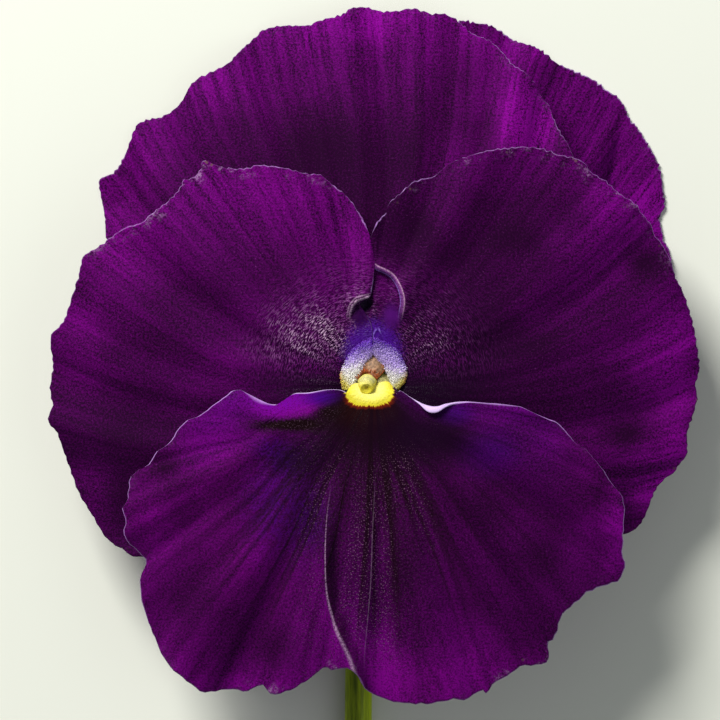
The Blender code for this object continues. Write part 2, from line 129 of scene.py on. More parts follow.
# %% [markdown]
# ## Pieces
#
# Every piece is a grid of points worked out as one array, put into a mesh in one go. Numbers that its
# finish needs, such as how far a point is from the margin, are worked out with the shape and stored on
# the mesh as attributes. A pattern then follows the surface, and looks the same from any side.


# %% Pieces
def new_piece(name, points, faces, nodes, slot, finish, **facts):
    """A mesh piece from points in millimetres round the flower's axis. facts become point attributes."""
    mesh = bpy.data.meshes.new(name)
    points = np.asarray(points, float)
    corners = np.concatenate([part.ravel() for part in faces]).astype(np.int32)
    counts = np.concatenate([np.full(len(part), part.shape[1], np.int32) for part in faces])
    mesh.vertices.add(len(points))
    mesh.vertices.foreach_set("co", (points * MM + AXIS).ravel())
    mesh.loops.add(len(corners))
    mesh.loops.foreach_set("vertex_index", corners)
    mesh.polygons.add(len(counts))
    mesh.polygons.foreach_set("loop_start", (np.cumsum(counts) - counts).astype(np.int32))
    mesh.update(calc_edges=True)
    mesh.validate()
    mesh.shade_smooth()
    for fact, values in {"place": points, **facts}.items():
        values = np.asarray(values, np.float32)
        kind, field = ("FLOAT", "value") if values.ndim == 1 else ("FLOAT_VECTOR", "vector")
        mesh.attributes.new(fact, kind, "POINT").data.foreach_set(field, values.ravel())
    mesh.materials.append(finish)
    piece = bpy.data.objects.new(name, mesh)
    bpy.context.collection.objects.link(piece)
    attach(piece, "root")
    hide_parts(*nodes)
    print(f"{name}: {len(points)} points, {int((counts - 2).sum())} triangles")


# %% [markdown]
# ## Blades
#
# A thin blade, such as a petal, has two skins, and a real petal thins to a rounded rim rather than
# ending in a square cut. So the two skins share their outermost ring of points, and the thickness grows
# from nothing there along a quarter of a circle. That also closes the mesh.


# %% Blades
def surface_normals(grid):
    """Unit normals of a grid: the cross product of its steps across and its steps along."""
    normal = np.cross(np.gradient(grid, axis=1), np.gradient(grid, axis=0))
    normal /= np.linalg.norm(normal, axis=-1, keepdims=True) + 1e-12
    return normal if normal[-1, :, 2].mean() > 0 else -normal


def distance_to_rim(grid):
    """How far each point of a grid is from its sides and far end, and from all four of its edges."""
    across = np.linalg.norm(np.diff(grid, axis=1), axis=-1)
    along = np.linalg.norm(np.diff(grid, axis=0), axis=-1)
    from_left = np.pad(np.cumsum(across, axis=1), ((0, 0), (1, 0)))
    from_foot = np.pad(np.cumsum(along, axis=0), ((1, 0), (0, 0)))
    sides = np.minimum(from_left, from_left[:, -1:] - from_left)
    free = np.minimum(sides, from_foot[-1:] - from_foot)
    return free, np.minimum(free, from_foot)


def blade(middle, thickness, rounding):
    """Points and faces of a closed blade round a grid, with face = 1 on its upper skin and 0 below.

    Half its thickness at distance s from the rim is thickness/2 * sqrt(1 - (1 - s/rounding)^2).
    """
    rows, columns = middle.shape[:2]
    _, to_rim = distance_to_rim(middle)
    share = 1 - np.clip(to_rim / rounding, 0, 1)
    half = (thickness / 2 * np.sqrt(1 - share**2))[..., None] * surface_normals(middle)
    inner = (slice(1, -1), slice(1, -1))
    upper = np.arange(rows * columns).reshape(rows, columns)
    lower = upper.copy()
    lower[inner] = rows * columns + np.arange((rows - 2) * (columns - 2)).reshape(rows - 2, columns - 2)
    points = np.vstack([(middle + half).reshape(-1, 3), (middle - half)[inner].reshape(-1, 3)])
    quads = []
    for skin, order in ((upper, (0, 1, 2, 3)), (lower, (3, 2, 1, 0))):
        corners = [skin[:-1, :-1], skin[:-1, 1:], skin[1:, 1:], skin[1:, :-1]]
        quads.append(np.stack([corners[k].ravel() for k in order], axis=-1))
    quads = np.vstack(quads)
    a, b, _, d = (points[quads[: (rows - 1) * (columns - 1), k]] for k in range(4))
    if np.cross(b - a, d - a)[-columns:, 2].mean() < 0:
        quads = quads[:, ::-1]
    rim = np.ones((rows, columns), bool)
    rim[inner] = False
    face = np.concatenate([np.where(rim.ravel(), 0.5, 1), np.zeros((rows - 2) * (columns - 2))])
    return points, quads, face


def both_skins(values):
    """One value for each point of a blade: those of the grid, then those of its lower skin's inner part."""
    return np.concatenate([values.reshape(-1), values[1:-1, 1:-1].reshape(-1)])


# %% [markdown]
# ## Tubes
#
# Stalks, anthers and the stigma's mouth are rings of points round a path. A bevelled curve would make
# them too, but it has no place for a ring that is lobed, ridged or flattened.


# %% Tubes
def tube(path, radii, sides, axis=None, flat=1):
    """Points and faces of a closed tube: a ring round each point of a path, and a fan over each end.

    The rings stand square to the path, or to a given axis. flat is their depth over their width.
    radii has one number a ring, or one a ring and side.
    """
    path = np.array(path, float)
    radii = np.asarray(radii, float).reshape(len(path), -1, 1)
    heading = np.gradient(path, axis=0) if axis is None else np.tile(np.array(axis, float), (len(path), 1))
    heading /= np.linalg.norm(heading, axis=1, keepdims=True)
    sideways = np.array([1, 0, 0]) - heading[:, :1] * heading
    sideways /= np.linalg.norm(sideways, axis=1, keepdims=True)
    upright = np.cross(heading, sideways) * flat
    turn = np.arange(sides) * 2 * math.pi / sides
    ring = np.cos(turn)[None, :, None] * sideways[:, None] + np.sin(turn)[None, :, None] * upright[:, None]
    points = (path[:, None] + radii * ring).reshape(-1, 3)
    index = np.arange(len(path) * sides).reshape(len(path), sides)
    after = np.roll(index, -1, axis=1)
    quads = np.stack([index[:-1], after[:-1], after[1:], index[1:]], axis=-1).reshape(-1, 4)
    foot, tip = len(points), len(points) + 1
    fans = [
        np.stack([after[0], index[0], np.full(sides, foot)], axis=-1),
        np.stack([index[-1], after[-1], np.full(sides, tip)], axis=-1),
    ]
    return np.vstack([points, path[:1], path[-1:]]), quads, np.vstack(fans)


def joined(parts):
    """Several (points, quads, fans) in one."""
    shift = np.cumsum([0] + [len(part[0]) for part in parts])
    points = np.vstack([part[0] for part in parts])
    return points, *(np.vstack([part[k] + shift[n] for n, part in enumerate(parts)]) for k in (1, 2))


# %% [markdown]
# ## Shader arithmetic
#
# A finish is a small sum over textures. Written with nodes alone it is hard to read, so a socket is
# wrapped in a class whose operators add the Math nodes, and `a * 0.5 + b` reads as it would on paper.


# %% Shader arithmetic
class Wire:
    """A socket of a material. Arithmetic on it adds Math nodes, and node() puts in any other node."""

    def __init__(self, tree, socket=None):
        self.tree, self.socket = tree, socket

    def node(self, kind, settings=None, sockets=None, out=0):
        """Adds a node, sets it up, then gives its sockets their values or links, and wraps one output."""
        added = self.tree.nodes.new(kind)
        for name, value in (settings or {}).items():
            setattr(added, name, value)
        for name, value in (sockets or {}).items():
            socket = added.inputs[name]
            if isinstance(value, Wire):
                self.tree.links.new(value.socket, socket)
            else:
                socket.default_value = (*value, 1) if socket.type == "RGBA" else value
        return Wire(self.tree, added.outputs[out] if added.outputs else None)

    def _sum(self, operation, *terms):
        return self.node("ShaderNodeMath", {"operation": operation}, dict(enumerate(terms)))

    def __add__(self, other):
        return self._sum("ADD", self, other)

    def __sub__(self, other):
        return self._sum("SUBTRACT", self, other)

    def __rsub__(self, other):
        return self._sum("SUBTRACT", other, self)

    def __mul__(self, other):
        return self._sum("MULTIPLY", self, other)

    __radd__, __rmul__ = __add__, __mul__

    def absolute(self):
        """This number without its sign."""
        return self._sum("ABSOLUTE", self)

    def sine(self):
        """The sine of this number of radians."""
        return self._sum("SINE", self)

    def ridged(self):
        """Turns noise about 0.5 into thin crests: 1 - |2n - 1|."""
        return 1 - (self * 2 - 1).absolute()

    def ramp(self, low, high, start=0, end=1):
        """A smooth ramp from start at low to end at high."""
        settings = {"interpolation_type": "SMOOTHSTEP"}
        sockets = {"Value": self, "From Min": low, "From Max": high, "To Min": start, "To Max": end}
        return self.node("ShaderNodeMapRange", settings, sockets)

    def fall(self, low, high, start=1):
        """A smooth ramp down from start at low to 0 at high."""
        return self.ramp(low, high, start, 0)

    def fact(self, name):
        """A number that the mesh carries at each point."""
        return self.node("ShaderNodeAttribute", {"attribute_name": name}, out="Fac")

    def facts(self, name):
        """Three numbers that the mesh carries at each point."""
        return self.node("ShaderNodeAttribute", {"attribute_name": name}, out="Vector")

    def parts(self):
        """This vector's three numbers."""
        apart = self.node("ShaderNodeSeparateXYZ", None, {0: self}).socket.node
        return [Wire(self.tree, socket) for socket in apart.outputs]

    def length(self):
        """This vector's length."""
        return self.node("ShaderNodeVectorMath", {"operation": "LENGTH"}, {0: self}, out="Value")

    def stretched(self, scale, shift=(0, 0, 0)):
        """This vector scaled along each axis, then shifted."""
        return self.node("ShaderNodeMapping", None, {"Vector": self, "Scale": scale, "Location": shift})

    def noise(self, scale, detail=2, roughness=0.5, distortion=0):
        """Soft noise at this vector, about 0.5 on average."""
        sockets = {"Vector": self, "Scale": scale, "Detail": detail, "Roughness": roughness}
        return self.node("ShaderNodeTexNoise", None, {**sockets, "Distortion": distortion})

    def cells(self, scale, randomness=1):
        """Distance from the nearest of scattered points: 0 at a point, growing away from it."""
        sockets = {"Vector": self, "Scale": scale, "Randomness": randomness}
        return self.node("ShaderNodeTexVoronoi", None, sockets)

    def blend(self, first, second):
        """first where this value is 0 and second where it is 1. Both are colours."""
        settings = {"data_type": "RGBA", "clamp_factor": True}
        return self.node("ShaderNodeMix", settings, {0: self, 6: first, 7: second}, out=2)


def new_finish(name):
    """An empty material and the wire that starts its sums."""
    made = bpy.data.materials.new(name)
    made.use_nodes = True
    made.node_tree.nodes.clear()
    return made, Wire(made.node_tree)


def surface(wire, height=None, depth=0, **sockets):
    """A Principled surface with these sockets, over an optional bump of this depth in millimetres."""
    if height is not None:
        sockets["Normal"] = wire.node("ShaderNodeBump", None, {"Height": height, "Distance": depth * MM})
    named = {key.replace("_", " "): value for key, value in sockets.items()}
    return wire.node("ShaderNodeBsdfPrincipled", None, named)


def finished(made, shown):
    """Ends a material with the surface it shows."""
    shown.node("ShaderNodeOutputMaterial", None, {"Surface": shown})
    print("finish", made.name)
    return made


# %% [markdown]
# ## The petals' outlines
#
# A pansy has five petals: two upper ones at the back, two side ones over them, and the broad lower one
# on top with its spur. Each is treated as a patch with four sides: a short base at the throat, an edge
# up each flank, and the free margin. The outlines are in millimetres from the flower's axis.

# %% The petals' outlines
PETALS = {
    "petal_lower": {
        "claw": (240, 300),
        "base": listed("-2.6 -0.8, 0 -2.5, 2.6 -0.8"),
        "first_side": listed("""
        -3.3 -0.5, -4.6 -0.5, -6.3 -0.8, -7.7 -0.9, -8.6 -1.5, -9.4 -2, -10.5 -1.8, -12.2 -1"""),
        "margin": listed("""
        -13.1 -0.5, -14 -0.6, -14.6 -1.1, -16 -2.1, -17.3 -3.1, -18.6 -3.6, -19.5 -4.6, -20.3 -5.8,
        -21.1 -6.4, -21.8 -6.9, -22.3 -7.9, -23.6 -8.7, -24.3 -9.5, -24.5 -11.4, -25 -12.4, -24.7 -13.7,
        -24.9 -15.1, -24 -16.3, -22.7 -17.7, -23.3 -19.6, -23 -22.3, -21.8 -25.6, -20.5 -28.1,
        -18.1 -30.2, -16.9 -31, -15.4 -30.8, -13.9 -30.7, -12.7 -30.9, -11 -30.2, -10.1 -31.1,
        -8.4 -30.7, -6.7 -29.8, -4.7 -28.3, -4.2 -28.6, -2.5 -28.4, -1.4 -29.2, -0.8 -30.4, 0.1 -31.1,
        1.5 -31.7, 3 -32, 5.8 -32, 8.3 -31.5, 9.2 -31.7, 11 -30.7, 11.4 -31.1, 12.3 -30, 13.4 -29.4,
        15.1 -28.3, 17.6 -27.9, 17.7 -25.8, 18.3 -25.4, 19.1 -23, 20.6 -21.7, 21.6 -20.8, 23.9 -20,
        24.9 -19.6, 25.5 -18.1, 25.2 -17.3, 25.2 -14.8, 25.3 -12.6, 25.1 -11.2, 24.2 -10.1, 22.9 -8.2,
        21.4 -6.5, 20.4 -5.8, 18.7 -3.9, 17.6 -3.4, 14.8 -2.2"""),
        "second_side": listed("2.9 -0.6, 3.8 -1.2, 5.1 -2.1, 6.3 -2.35, 7.4 -2.05, 9.3 -1.7, 11.6 -1.8"),
        "rim": 16.2, "rise": 0.07, "fall": 0.0062, "lean": (0.015, 0), "rounding": 0.12,
        "calm": (0.3, 0.14),
        "ruffle": 0.75, "waves": 7, "phase": 0.6, "frill": 0.8, "folds": 0.14, "seed": 1,
        "columns": [(0, 0.006, 8), (0.006, 0.05, 20), (0.05, 0.92, 180), (0.92, 0.99, 32), (0.99, 1, 8)],
        "slot": "petal_purple",
    },
    "petal_side_left": {
        "claw": (170, 230),
        "base": listed("-0.5 3, -1.5 1.3, -2.45 -0.4"),
        "first_side": listed("""
        -0.02 4.4, 0.1 5.3, -0.12 6.2, -0.5 6.9, -0.95 7.55, -1.25 8.12, -0.75 8.62, -0.18 8.92,
        -0.02 9.6, 0.15 10.6, 0.25 12.1"""),
        "margin": listed("""
        0.1 13.2, -0.15 14.4, -0.3 15, -0.5 15.7, -1.4 17.4, -2.4 18.8, -4.2 20.3, -5.2 21.1, -6.6 21.2,
        -8.1 21.6, -9.5 21.9, -11.6 22.1, -12.5 21.8, -14.3 21.8, -15.6 22.1, -17 22.6, -17.3 21.6,
        -18.2 20.8, -19.1 20.6, -19.2 20, -20.4 18.6, -22.2 17.2, -23.3 16.3, -24.8 15.9, -26.1 15.1,
        -27.7 13.9, -28.9 13.2, -29.3 12.6, -29.6 11.1, -30.3 8.9, -31.2 6.4, -32.4 5.1, -32.5 3.8,
        -32.3 2, -32.6 -0.4, -32.3 -2.1, -32.7 -3.1, -32.6 -4, -31.9 -4.7, -31.1 -7, -30.4 -9,
        -29.6 -11.1, -28.2 -13.4, -27.2 -15.1, -26.2 -16.1, -25.2 -16.6, -24.4 -17.2, -23.7 -17.2"""),
        "second_side": listed("-4.6 -2.6, -7 -6.4, -10.5 -10.8, -15 -14.8, -19.6 -17"),
        "rim": 14.9, "rise": 0.04, "fall": 0.0082, "lean": (0, 0.045),
        "ruffle": 0.6, "waves": 5, "phase": 2.1, "frill": 0.8, "folds": 0.12, "seed": 2,
        "columns": [(0, 0.1, 60), (0.1, 0.99, 180), (0.99, 1, 6)], "slot": "petal_purple",
    },
    "petal_side_right": {
        "claw": (10, -50),
        "base": listed("0.5 3, 1.5 1.3, 2.45 -0.4"),
        "first_side": listed("0.15 4.1, -0.35 5, -1 6.2, -1.6 7.2, -1.85 8.3, -1.3 9.6, -0.7 11.4"),
        "margin": listed("""
        -0.4 12.8, -0.3 14.2, 0.1 15.4, 0.6 16.4, 1.5 17.4, 1.7 18.2, 2.8 19.2, 4.2 20.4, 5.6 20.8,
        6.3 21, 7.6 22.1, 9.4 22.9, 11.9 23.6, 14.2 23.9, 15.3 24, 17.3 23.8, 18.9 23.2, 20.5 22.9,
        21.6 22.3, 22.1 21.5, 23.7 20.5, 25 19.3, 26.6 18.3, 27.3 17.3, 28.2 16.3, 28.6 15.2, 29.4 14.2,
        30.3 12.4, 30.7 10.9, 31.6 9.1, 32.5 6.2, 32.9 4, 33.2 1.6, 32.8 0, 33 -1.3, 32.4 -3.4,
        31.9 -4.9, 31.9 -7, 31.2 -7.9, 30.7 -8.8, 29.8 -9.4, 28.8 -10.5, 28.2 -11.9, 27.8 -13,
        27.2 -14.1, 26.4 -14.8, 25.5 -15.1"""),
        "second_side": listed("4.6 -2.6, 7.6 -5.8, 11.8 -9.4, 16.6 -12.8, 21.5 -15.1"),
        "rim": 14.9, "rise": 0.02, "fall": 0.0078, "lean": (0, 0.04),
        "ruffle": 0.55, "waves": 5, "phase": 0.3, "frill": 0.7, "folds": 0.1, "seed": 3,
        "columns": [(0, 0.12, 68), (0.12, 0.99, 172), (0.99, 1, 6)], "slot": "petal_purple",
    },
    "petal_upper_left": {
        "claw": (151, 97),
        "base": listed("-2.2 1.6, -1.5 2.4, -0.45 2.8"),
        "first_side": listed("-6 3.8, -12 6.5, -19 9.5, -24.5 12"),
        "margin": listed("""
        -27.2 15, -27.4 17.3, -28 20.7, -27.4 21.3, -26.3 21.9, -25.2 23.8, -24.3 26.2, -23.8 26.8,
        -22.8 27.2, -21.6 27.4, -20.3 28.1, -19.3 29.2, -18.7 30.4, -17.8 31.3, -16.3 32, -14.7 32.8,
        -13.5 34.1, -11.8 35.7, -11.2 36.3, -9.4 36.7, -6.6 36.7, -5.4 37.2, -3.1 37.8, -2.1 38.5,
        -0.5 38.6, 0.9 38.2, 2.8 38.2, 4 38.4, 5.3 38.1, 6.2 37.8, 7.1 37.9, 8.3 37.5, 9.2 36.8,
        10.3 35.8, 12 35.1, 13.2 34, 14.4 32.5, 15.5 31.8, 16.5 30.7, 17.2 29.3, 18 28.4, 18.4 27.2,
        19.1 25.6, 19.8 24.5, 20.4 23.1"""),
        "second_side": listed("1.6 4.6, 5.5 6.8, 9.5 9.2, 14.2 12.8, 18.3 17.3"),
        "rim": 12.1, "rise": 0.03, "fall": 0.0085, "lean": (0.09, 0), "touch": (-26.5, 20.5),
        "ruffle": 0.6, "waves": 6, "phase": 1.2, "frill": 0.7, "folds": 0.12, "seed": 4,
        "columns": [(0, 0.01, 5), (0.01, 0.99, 215), (0.99, 1, 5)], "slot": "petal_dark_purple",
    },
    "petal_upper_right": {
        "claw": (83, 29),
        "base": listed("0.45 2.8, 1.5 2.4, 2.2 1.6"),
        "first_side": listed("1.6 6, 3.2 12, 5 20, 6.4 28.4"),
        "margin": listed("""
        7.3 34.5, 8.9 37.1, 9.9 37.2, 11 37, 12 36.9, 13.3 36.2, 14.6 35.3, 16.7 34.6, 18.1 33.7,
        18.9 33, 21.4 31.9, 23 31.1, 24.2 30.1, 25.1 29.6, 25.9 28.6, 26.5 27.2, 27.3 26.3, 28.3 24.7,
        29.2 23.1, 29.7 21.5, 29.9 19.9, 30.1 18.7, 30 18, 29.6 17.4, 29.6 16.6, 29.9 15.3, 29.9 14.8,
        30.4 14.1, 30.7 13, 30.7 12.4"""),
        "second_side": listed("6.5 2.7, 11 3.4, 18 4.6, 25.5 7.4"),
        "rim": 10.4, "rise": 0, "fall": 0.007, "lean": (-0.055, 0), "touch": (28.5, 19.5),
        "ruffle": 0.5, "waves": 4, "phase": 0.2, "frill": 0.6, "folds": 0.1, "seed": 5,
        "columns": [(0, 0.01, 5), (0.01, 0.99, 160), (0.99, 1, 5)], "slot": "petal_dark_purple",
    },
}
RING_RADIUS = 2.4
RING_HEIGHT = 9
RIM_ROUNDING = 0.4
TOUCH_DROOP = 3
TOUCH_REACH = 7.5
CAD_THICKNESS = 0.6
TEETH_COUNT, TEETH_DEPTH = 24, 0.055 / 2.4
THROAT_RADIUS = 2.6
CREASE_HEIGHT = 0.28
PETAL_THICKNESS = 0.26
PETAL_ROUNDING = 0.16


# %% [markdown]
# ## The blade seen from above
#
# The four sides are filled in as a Coons patch: what lies between base and margin, plus what lies
# between the two flanks, less the corners that both have counted. Lines of constant u then run like
# the petal's veins, fanning out from the throat, and can be used later to paint and to emboss it.


# %% The blade seen from above
def spaced(parts):
    """Column positions from 0 to 1, given as stretches with a count of steps in each."""
    steps = [np.linspace(low, high, count, endpoint=False) for low, high, count in parts]
    return np.concatenate([*steps, [1]])


def teeth(petal, u):
    """Fine uneven teeth of the margin: a sum of sines with 40 to 130 waves along it, none at its ends."""
    draw = np.random.default_rng(petal["seed"] + 80)
    each = (TEETH_COUNT, 1)
    turn = draw.uniform(40, 130, each) * 2 * math.pi * u + draw.uniform(0, 2 * math.pi, each)
    depth = draw.uniform(0.3, 1, each) * np.sin(turn)
    return TEETH_DEPTH * depth.sum(axis=0) * smoothstep(0, 0.06, u) * smoothstep(1, 0.94, u)


def blade_plan(petal, u, v):
    """The patch P = base to margin + flank to flank - corners. v starts at 0, at the base.

    The margin's share is 0.4 v + 0.6 v^3. It grows slowly at first, so that the patch doesn't fold at
    a hollow flank.
    """
    base = curve_through(petal["base"], u)
    margin = curve_through(petal["margin"], u)
    margin = margin * (1 + teeth(petal, u) / np.linalg.norm(margin, axis=1))[:, None]
    first = curve_through([base[0], *petal["first_side"], margin[0]], v)
    second = curve_through([base[-1], *petal["second_side"], margin[-1]], v)
    across, along = u[None, :, None], (0.4 * v + 0.6 * v**3)[:, None, None]
    between_ends = (1 - along) * base + along * margin
    between_sides = (1 - across) * first[:, None] + across * second[:, None]
    corners = (1 - along) * ((1 - across) * base[0] + across * base[-1]) + along * (
        (1 - across) * margin[0] + across * margin[-1]
    )
    return between_ends + between_sides - corners


# %% [markdown]
# ## The blade's height
#
# Seen from the side a petal is an arch that rises from the throat and droops to its margin. On it lie
# waves that grow towards the margin, soft folds that fan out like the veins, a frill that follows the
# outline, because a margin that sticks out in a tip also lifts there, and small creases at the margin.


# %% The blade's height
def arch_height(petal, x, y):
    """Height without waves: rim + rise * out - fall * out^2, plus a lean, less a rounding at the rim."""
    out = np.maximum(np.hypot(x, y) - THROAT_RADIUS, 0)
    arch = petal["rim"] + petal["rise"] * out - petal["fall"] * out**2
    lean = (petal["lean"][0] * x + petal["lean"][1] * y) * smoothstep(2, 10, out)
    return arch + lean - petal.get("rounding", RIM_ROUNDING) * (1 - smoothstep(0, 1.6, out))


def soft_folds(seed, u, v, count, slowest, fastest):
    """A sum of sines over the patch, with random counts across it, which drift a little along it.

    A fold's depth falls with how narrow it is, as sqrt(slowest / its count).
    """
    draw = np.random.default_rng(seed)
    waves = np.exp(draw.uniform(np.log(slowest), np.log(fastest), count))[:, None, None]
    drift = draw.uniform(-2.2, 2.2, count)[:, None, None]
    phase = draw.uniform(0, 2 * math.pi, count)[:, None, None]
    turn = 2 * math.pi * waves * u[None, None, :] + drift * v[None, :, None] + phase
    return (np.sin(turn) * np.sqrt(slowest / waves)).sum(axis=0) / math.sqrt(count)


def frill(petal, u):
    """How far the margin stands out from its own smoothed line, at each u: positive at a tip."""
    fine = np.linspace(0, 1, 721)
    margin = curve_through(petal["margin"], fine)
    reach = 18
    padded = np.vstack([np.repeat(margin[:1], reach, 0), margin, np.repeat(margin[-1:], reach, 0)])
    window = np.hanning(2 * reach + 1)
    window /= window.sum()
    smooth = np.stack([np.convolve(padded[:, k], window, "valid") for k in range(2)], axis=-1)
    outwards = smooth / np.linalg.norm(smooth, axis=1, keepdims=True)
    return np.interp(u, fine, ((margin - smooth) * outwards).sum(axis=1))


def margin_creases(seed, u, v, count):
    """Short ridges that run in from the margin, each fading inwards, and some of them hollows."""
    draw = np.random.default_rng(seed)
    middle = draw.uniform(0.03, 0.97, count)[:, None, None]
    width = draw.uniform(0.006, 0.014, count)[:, None, None]
    depth = draw.uniform(-0.6, 1, count)[:, None, None]
    inner_end = draw.uniform(0.8, 0.93, count)[:, None, None]
    fade = np.clip((v[None, :, None] - inner_end) / (1 - inner_end), 0, 1) ** 1.5
    return (depth * bell(u[None, None, :] - middle, width) * fade).sum(axis=0)


def blade_height(petal, plan, u, v):
    """Height of the blade's middle surface, with all that every petal has.

    A petal with calm has neither waves nor folds at its two flanks, over these shares of its width.
    """
    x, y, out = plan[..., 0], plan[..., 1], v[:, None]
    turn = 2 * math.pi * petal["waves"] * u[None, :] + petal["phase"]
    wave = np.sin(turn) + 0.5 * np.sin(1.7 * turn + 1)
    fold = soft_folds(petal["seed"], u, v, 14, 5, 34)
    moving = petal["ruffle"] * wave * smoothstep(0.35, 1, out)
    moving = moving + petal["folds"] * fold * smoothstep(0.1, 0.7, out)
    if "calm" in petal:
        first, last = petal["calm"]
        moving = moving * smoothstep(0, first, u) * smoothstep(1, 1 - last, u)
    height = arch_height(petal, x, y) + moving + petal["frill"] * frill(petal, u) * smoothstep(0.66, 1, out)
    height = height + CREASE_HEIGHT * margin_creases(petal["seed"] + 50, u, v, 26)
    if "touch" in petal:
        away = np.hypot(x - petal["touch"][0], y - petal["touch"][1])
        height = height - TOUCH_DROOP * bell(away, TOUCH_REACH)
    return height


# %% [markdown]
# ## Forms round the throat
#
# Above the throat the two side petals meet in a slit. Below the slit both turn their edge over: the
# left one in a tight hook over a small pit that is painted dark as its shadow, the right one in a wide,
# pale lip with a sunken channel beside it, which passes under the left petal. The lower petal has a
# pleat down its middle, and its right shoulder rolls up and over, so that a crescent of the pale
# underside shows.


# %% Forms round the throat
LEFT_HOOK = listed("""
    0 9, -0.35 8.85, -0.87 8.72, -1.48 8.44, -1.92 8, -2.14 7.44, -2.26 6.78, -2.1 6.2""")
RIGHT_LIP = listed("""
    -0.1 12.5, 0.22 12.05, 0.6 11.75, 1.2 11.5, 1.75 11.2, 2.25 10.75, 2.75 9.95, 3.05 9, 3.12 8.2,
    3 7.44, 2.88 6.8, 2.7 6.2""")
SMALL_CURL = listed("0.1 4.2, 0.13 4.78, 0.3 5.33, 0.61 5.72, 0.74 5.5, 0.97 5")
PLEAT = listed("-3.9 -9, -4.5 -14, -4.6 -20, -3.7 -24, -2.2 -27.5, -1.3 -30.2")
SECOND_PLEAT = listed("0.4 -8, 0 -14.3, -0.2 -19.7, -0.7 -25.7, -1 -30")
FAR_AWAY = 9


def faded(place, fade):
    """1 along a line, and fading to 0 over this share of it at both ends."""
    return smoothstep(0, fade, place) * (1 - smoothstep(1 - fade, 1, place))


def oval(x, y, middle, half):
    """1 within an ellipse, and a steep fall at its edge: exp(-r^4), where r is 1 on the ellipse."""
    return np.exp(-((((x - middle[0]) / half[0]) ** 2 + ((y - middle[1]) / half[1]) ** 2) ** 2))


def lip(aside, ends, rise, outer, drop, steep, inner):
    """A turned edge: a crest, gentle on its outer side, with a steep step down on its inner side.

    aside is the distance from the crest, positive on the inner side. There the height is
    (rise + drop) exp(-(aside/steep)^2) - drop exp(-(aside/inner)^2).
    """
    sunk = (rise + drop) * bell(aside, steep) - drop * bell(aside, inner)
    return np.where(aside > 0, sunk, rise * bell(aside, outer)) * ends


def left_forms(x, y):
    """The left petal's hook and smooth flap: extra height, two drawn lines, pit and smoothness."""
    aside, place = beside(x, y, LEFT_HOOK)
    ends = smoothstep(0, 0.12, place) * (1 - smoothstep(0.45, 1, place))
    height = lip(-aside, ends, 0.45, 0.8, 0.45, 0.14, 1.2)
    smooth = oval(x, y, (-1.2, 6.9), (1.05, 1.3))
    return height, (aside, ends), (FAR_AWAY + 0 * x, 0 * x), 0 * x, smooth


def right_forms(x, y):
    """The right petal's lip, the channel beside it with the pit at its end, and the small curl."""
    aside, place = beside(x, y, RIGHT_LIP)
    height = lip(aside, faded(place, 0.16), 0.34, 1, 0.55, 0.24, 2.3)
    ends = smoothstep(0.04, 0.14, place) * (1 - smoothstep(0.65, 1, place))
    passes_under = (1 - smoothstep(-0.5, 0.5, x)) * smoothstep(3.1, 4.2, y) * (1 - smoothstep(13.5, 16, y))
    height = height - (0.5 + 0.3 * smoothstep(11.5, 13, y)) * passes_under
    pit = oval(x, y - 0.25 * (x + 0.85), (-0.85, 7.95), (0.85, 0.72))
    curl, along = beside(x, y, SMALL_CURL)
    curl_ends = faded(along, 0.2) * (1 - 0.9 * bell(along - 0.66, 0.06))
    height = height - 0.8 * pit + 0.1 * bell(curl, 0.12) * curl_ends
    return height, (aside, ends), (curl, curl_ends), pit, oval(x, y, (1.95, 6.9), (1, 1.35))


def lower_forms(x, y):
    """The lower petal's pleats. A pleat's crest catches the light in a thin pale line."""
    aside, place = beside(x, y, PLEAT)
    ends = smoothstep(0, 0.45, place)
    second, along = beside(x, y, SECOND_PLEAT)
    second_ends = faded(along, 0.4)
    height = bell(aside, np.where(aside > 0, 2.6, 0.7)) * ends
    height = height + 0.3 * bell(second, np.where(second > 0, 0.9, 0.5)) * second_ends
    return height, (aside, ends), (second, second_ends), 0 * x, 0 * x


def no_forms(x, y):
    """Nothing extra."""
    return 0 * x, (FAR_AWAY + 0 * x, 0 * x), (FAR_AWAY + 0 * x, 0 * x), 0 * x, 0 * x


FORMS = {"petal_lower": lower_forms, "petal_side_left": left_forms, "petal_side_right": right_forms}


def rolled(grid, radius, turn, reach):
    """Rolls the last columns of a grid up and over, round a radius for each row, by a turn in radians.

    The strip within reach of the edge is stretched to length reach - R + R * turn. Its last R * turn
    goes round an arc: at angle a it is R sin(a) further out than the arc's start and R(1 - cos(a)) up.
    """
    radius = np.maximum(radius, 1e-4)[:, None]
    turn = np.asarray(turn)[:, None]
    edge = grid[:, -1:, :2]
    from_edge = np.linalg.norm(edge - grid[..., :2], axis=-1)
    inner = np.argmin(np.abs(from_edge - reach), axis=1)
    outwards = edge[:, 0] - grid[np.arange(len(grid)), inner, :2]
    outwards /= np.linalg.norm(outwards, axis=1, keepdims=True)
    stretched = from_edge * (reach - radius + radius * turn) / reach
    angle = np.clip((radius * turn - stretched) / radius, 0, None)
    flat = np.where(angle > 0, radius - radius * np.sin(angle), stretched - radius * turn + radius)
    near = from_edge < reach
    out = np.where(near, from_edge - flat, 0)
    made = grid.copy()
    made[..., :2] += outwards[:, None] * out[..., None]
    made[..., 2] += np.where(near, radius * (1 - np.cos(angle)), 0)
    return made


# %% [markdown]
# ## From claw to margin
#
# Below its blade every petal narrows to a claw, which stands on the receptacle. The claws rise round
# the stamens. The lower petal's swells into a cushion, the palate, which fills the lower half of the
# throat under the stigma. It is the yellow eye of the flower.


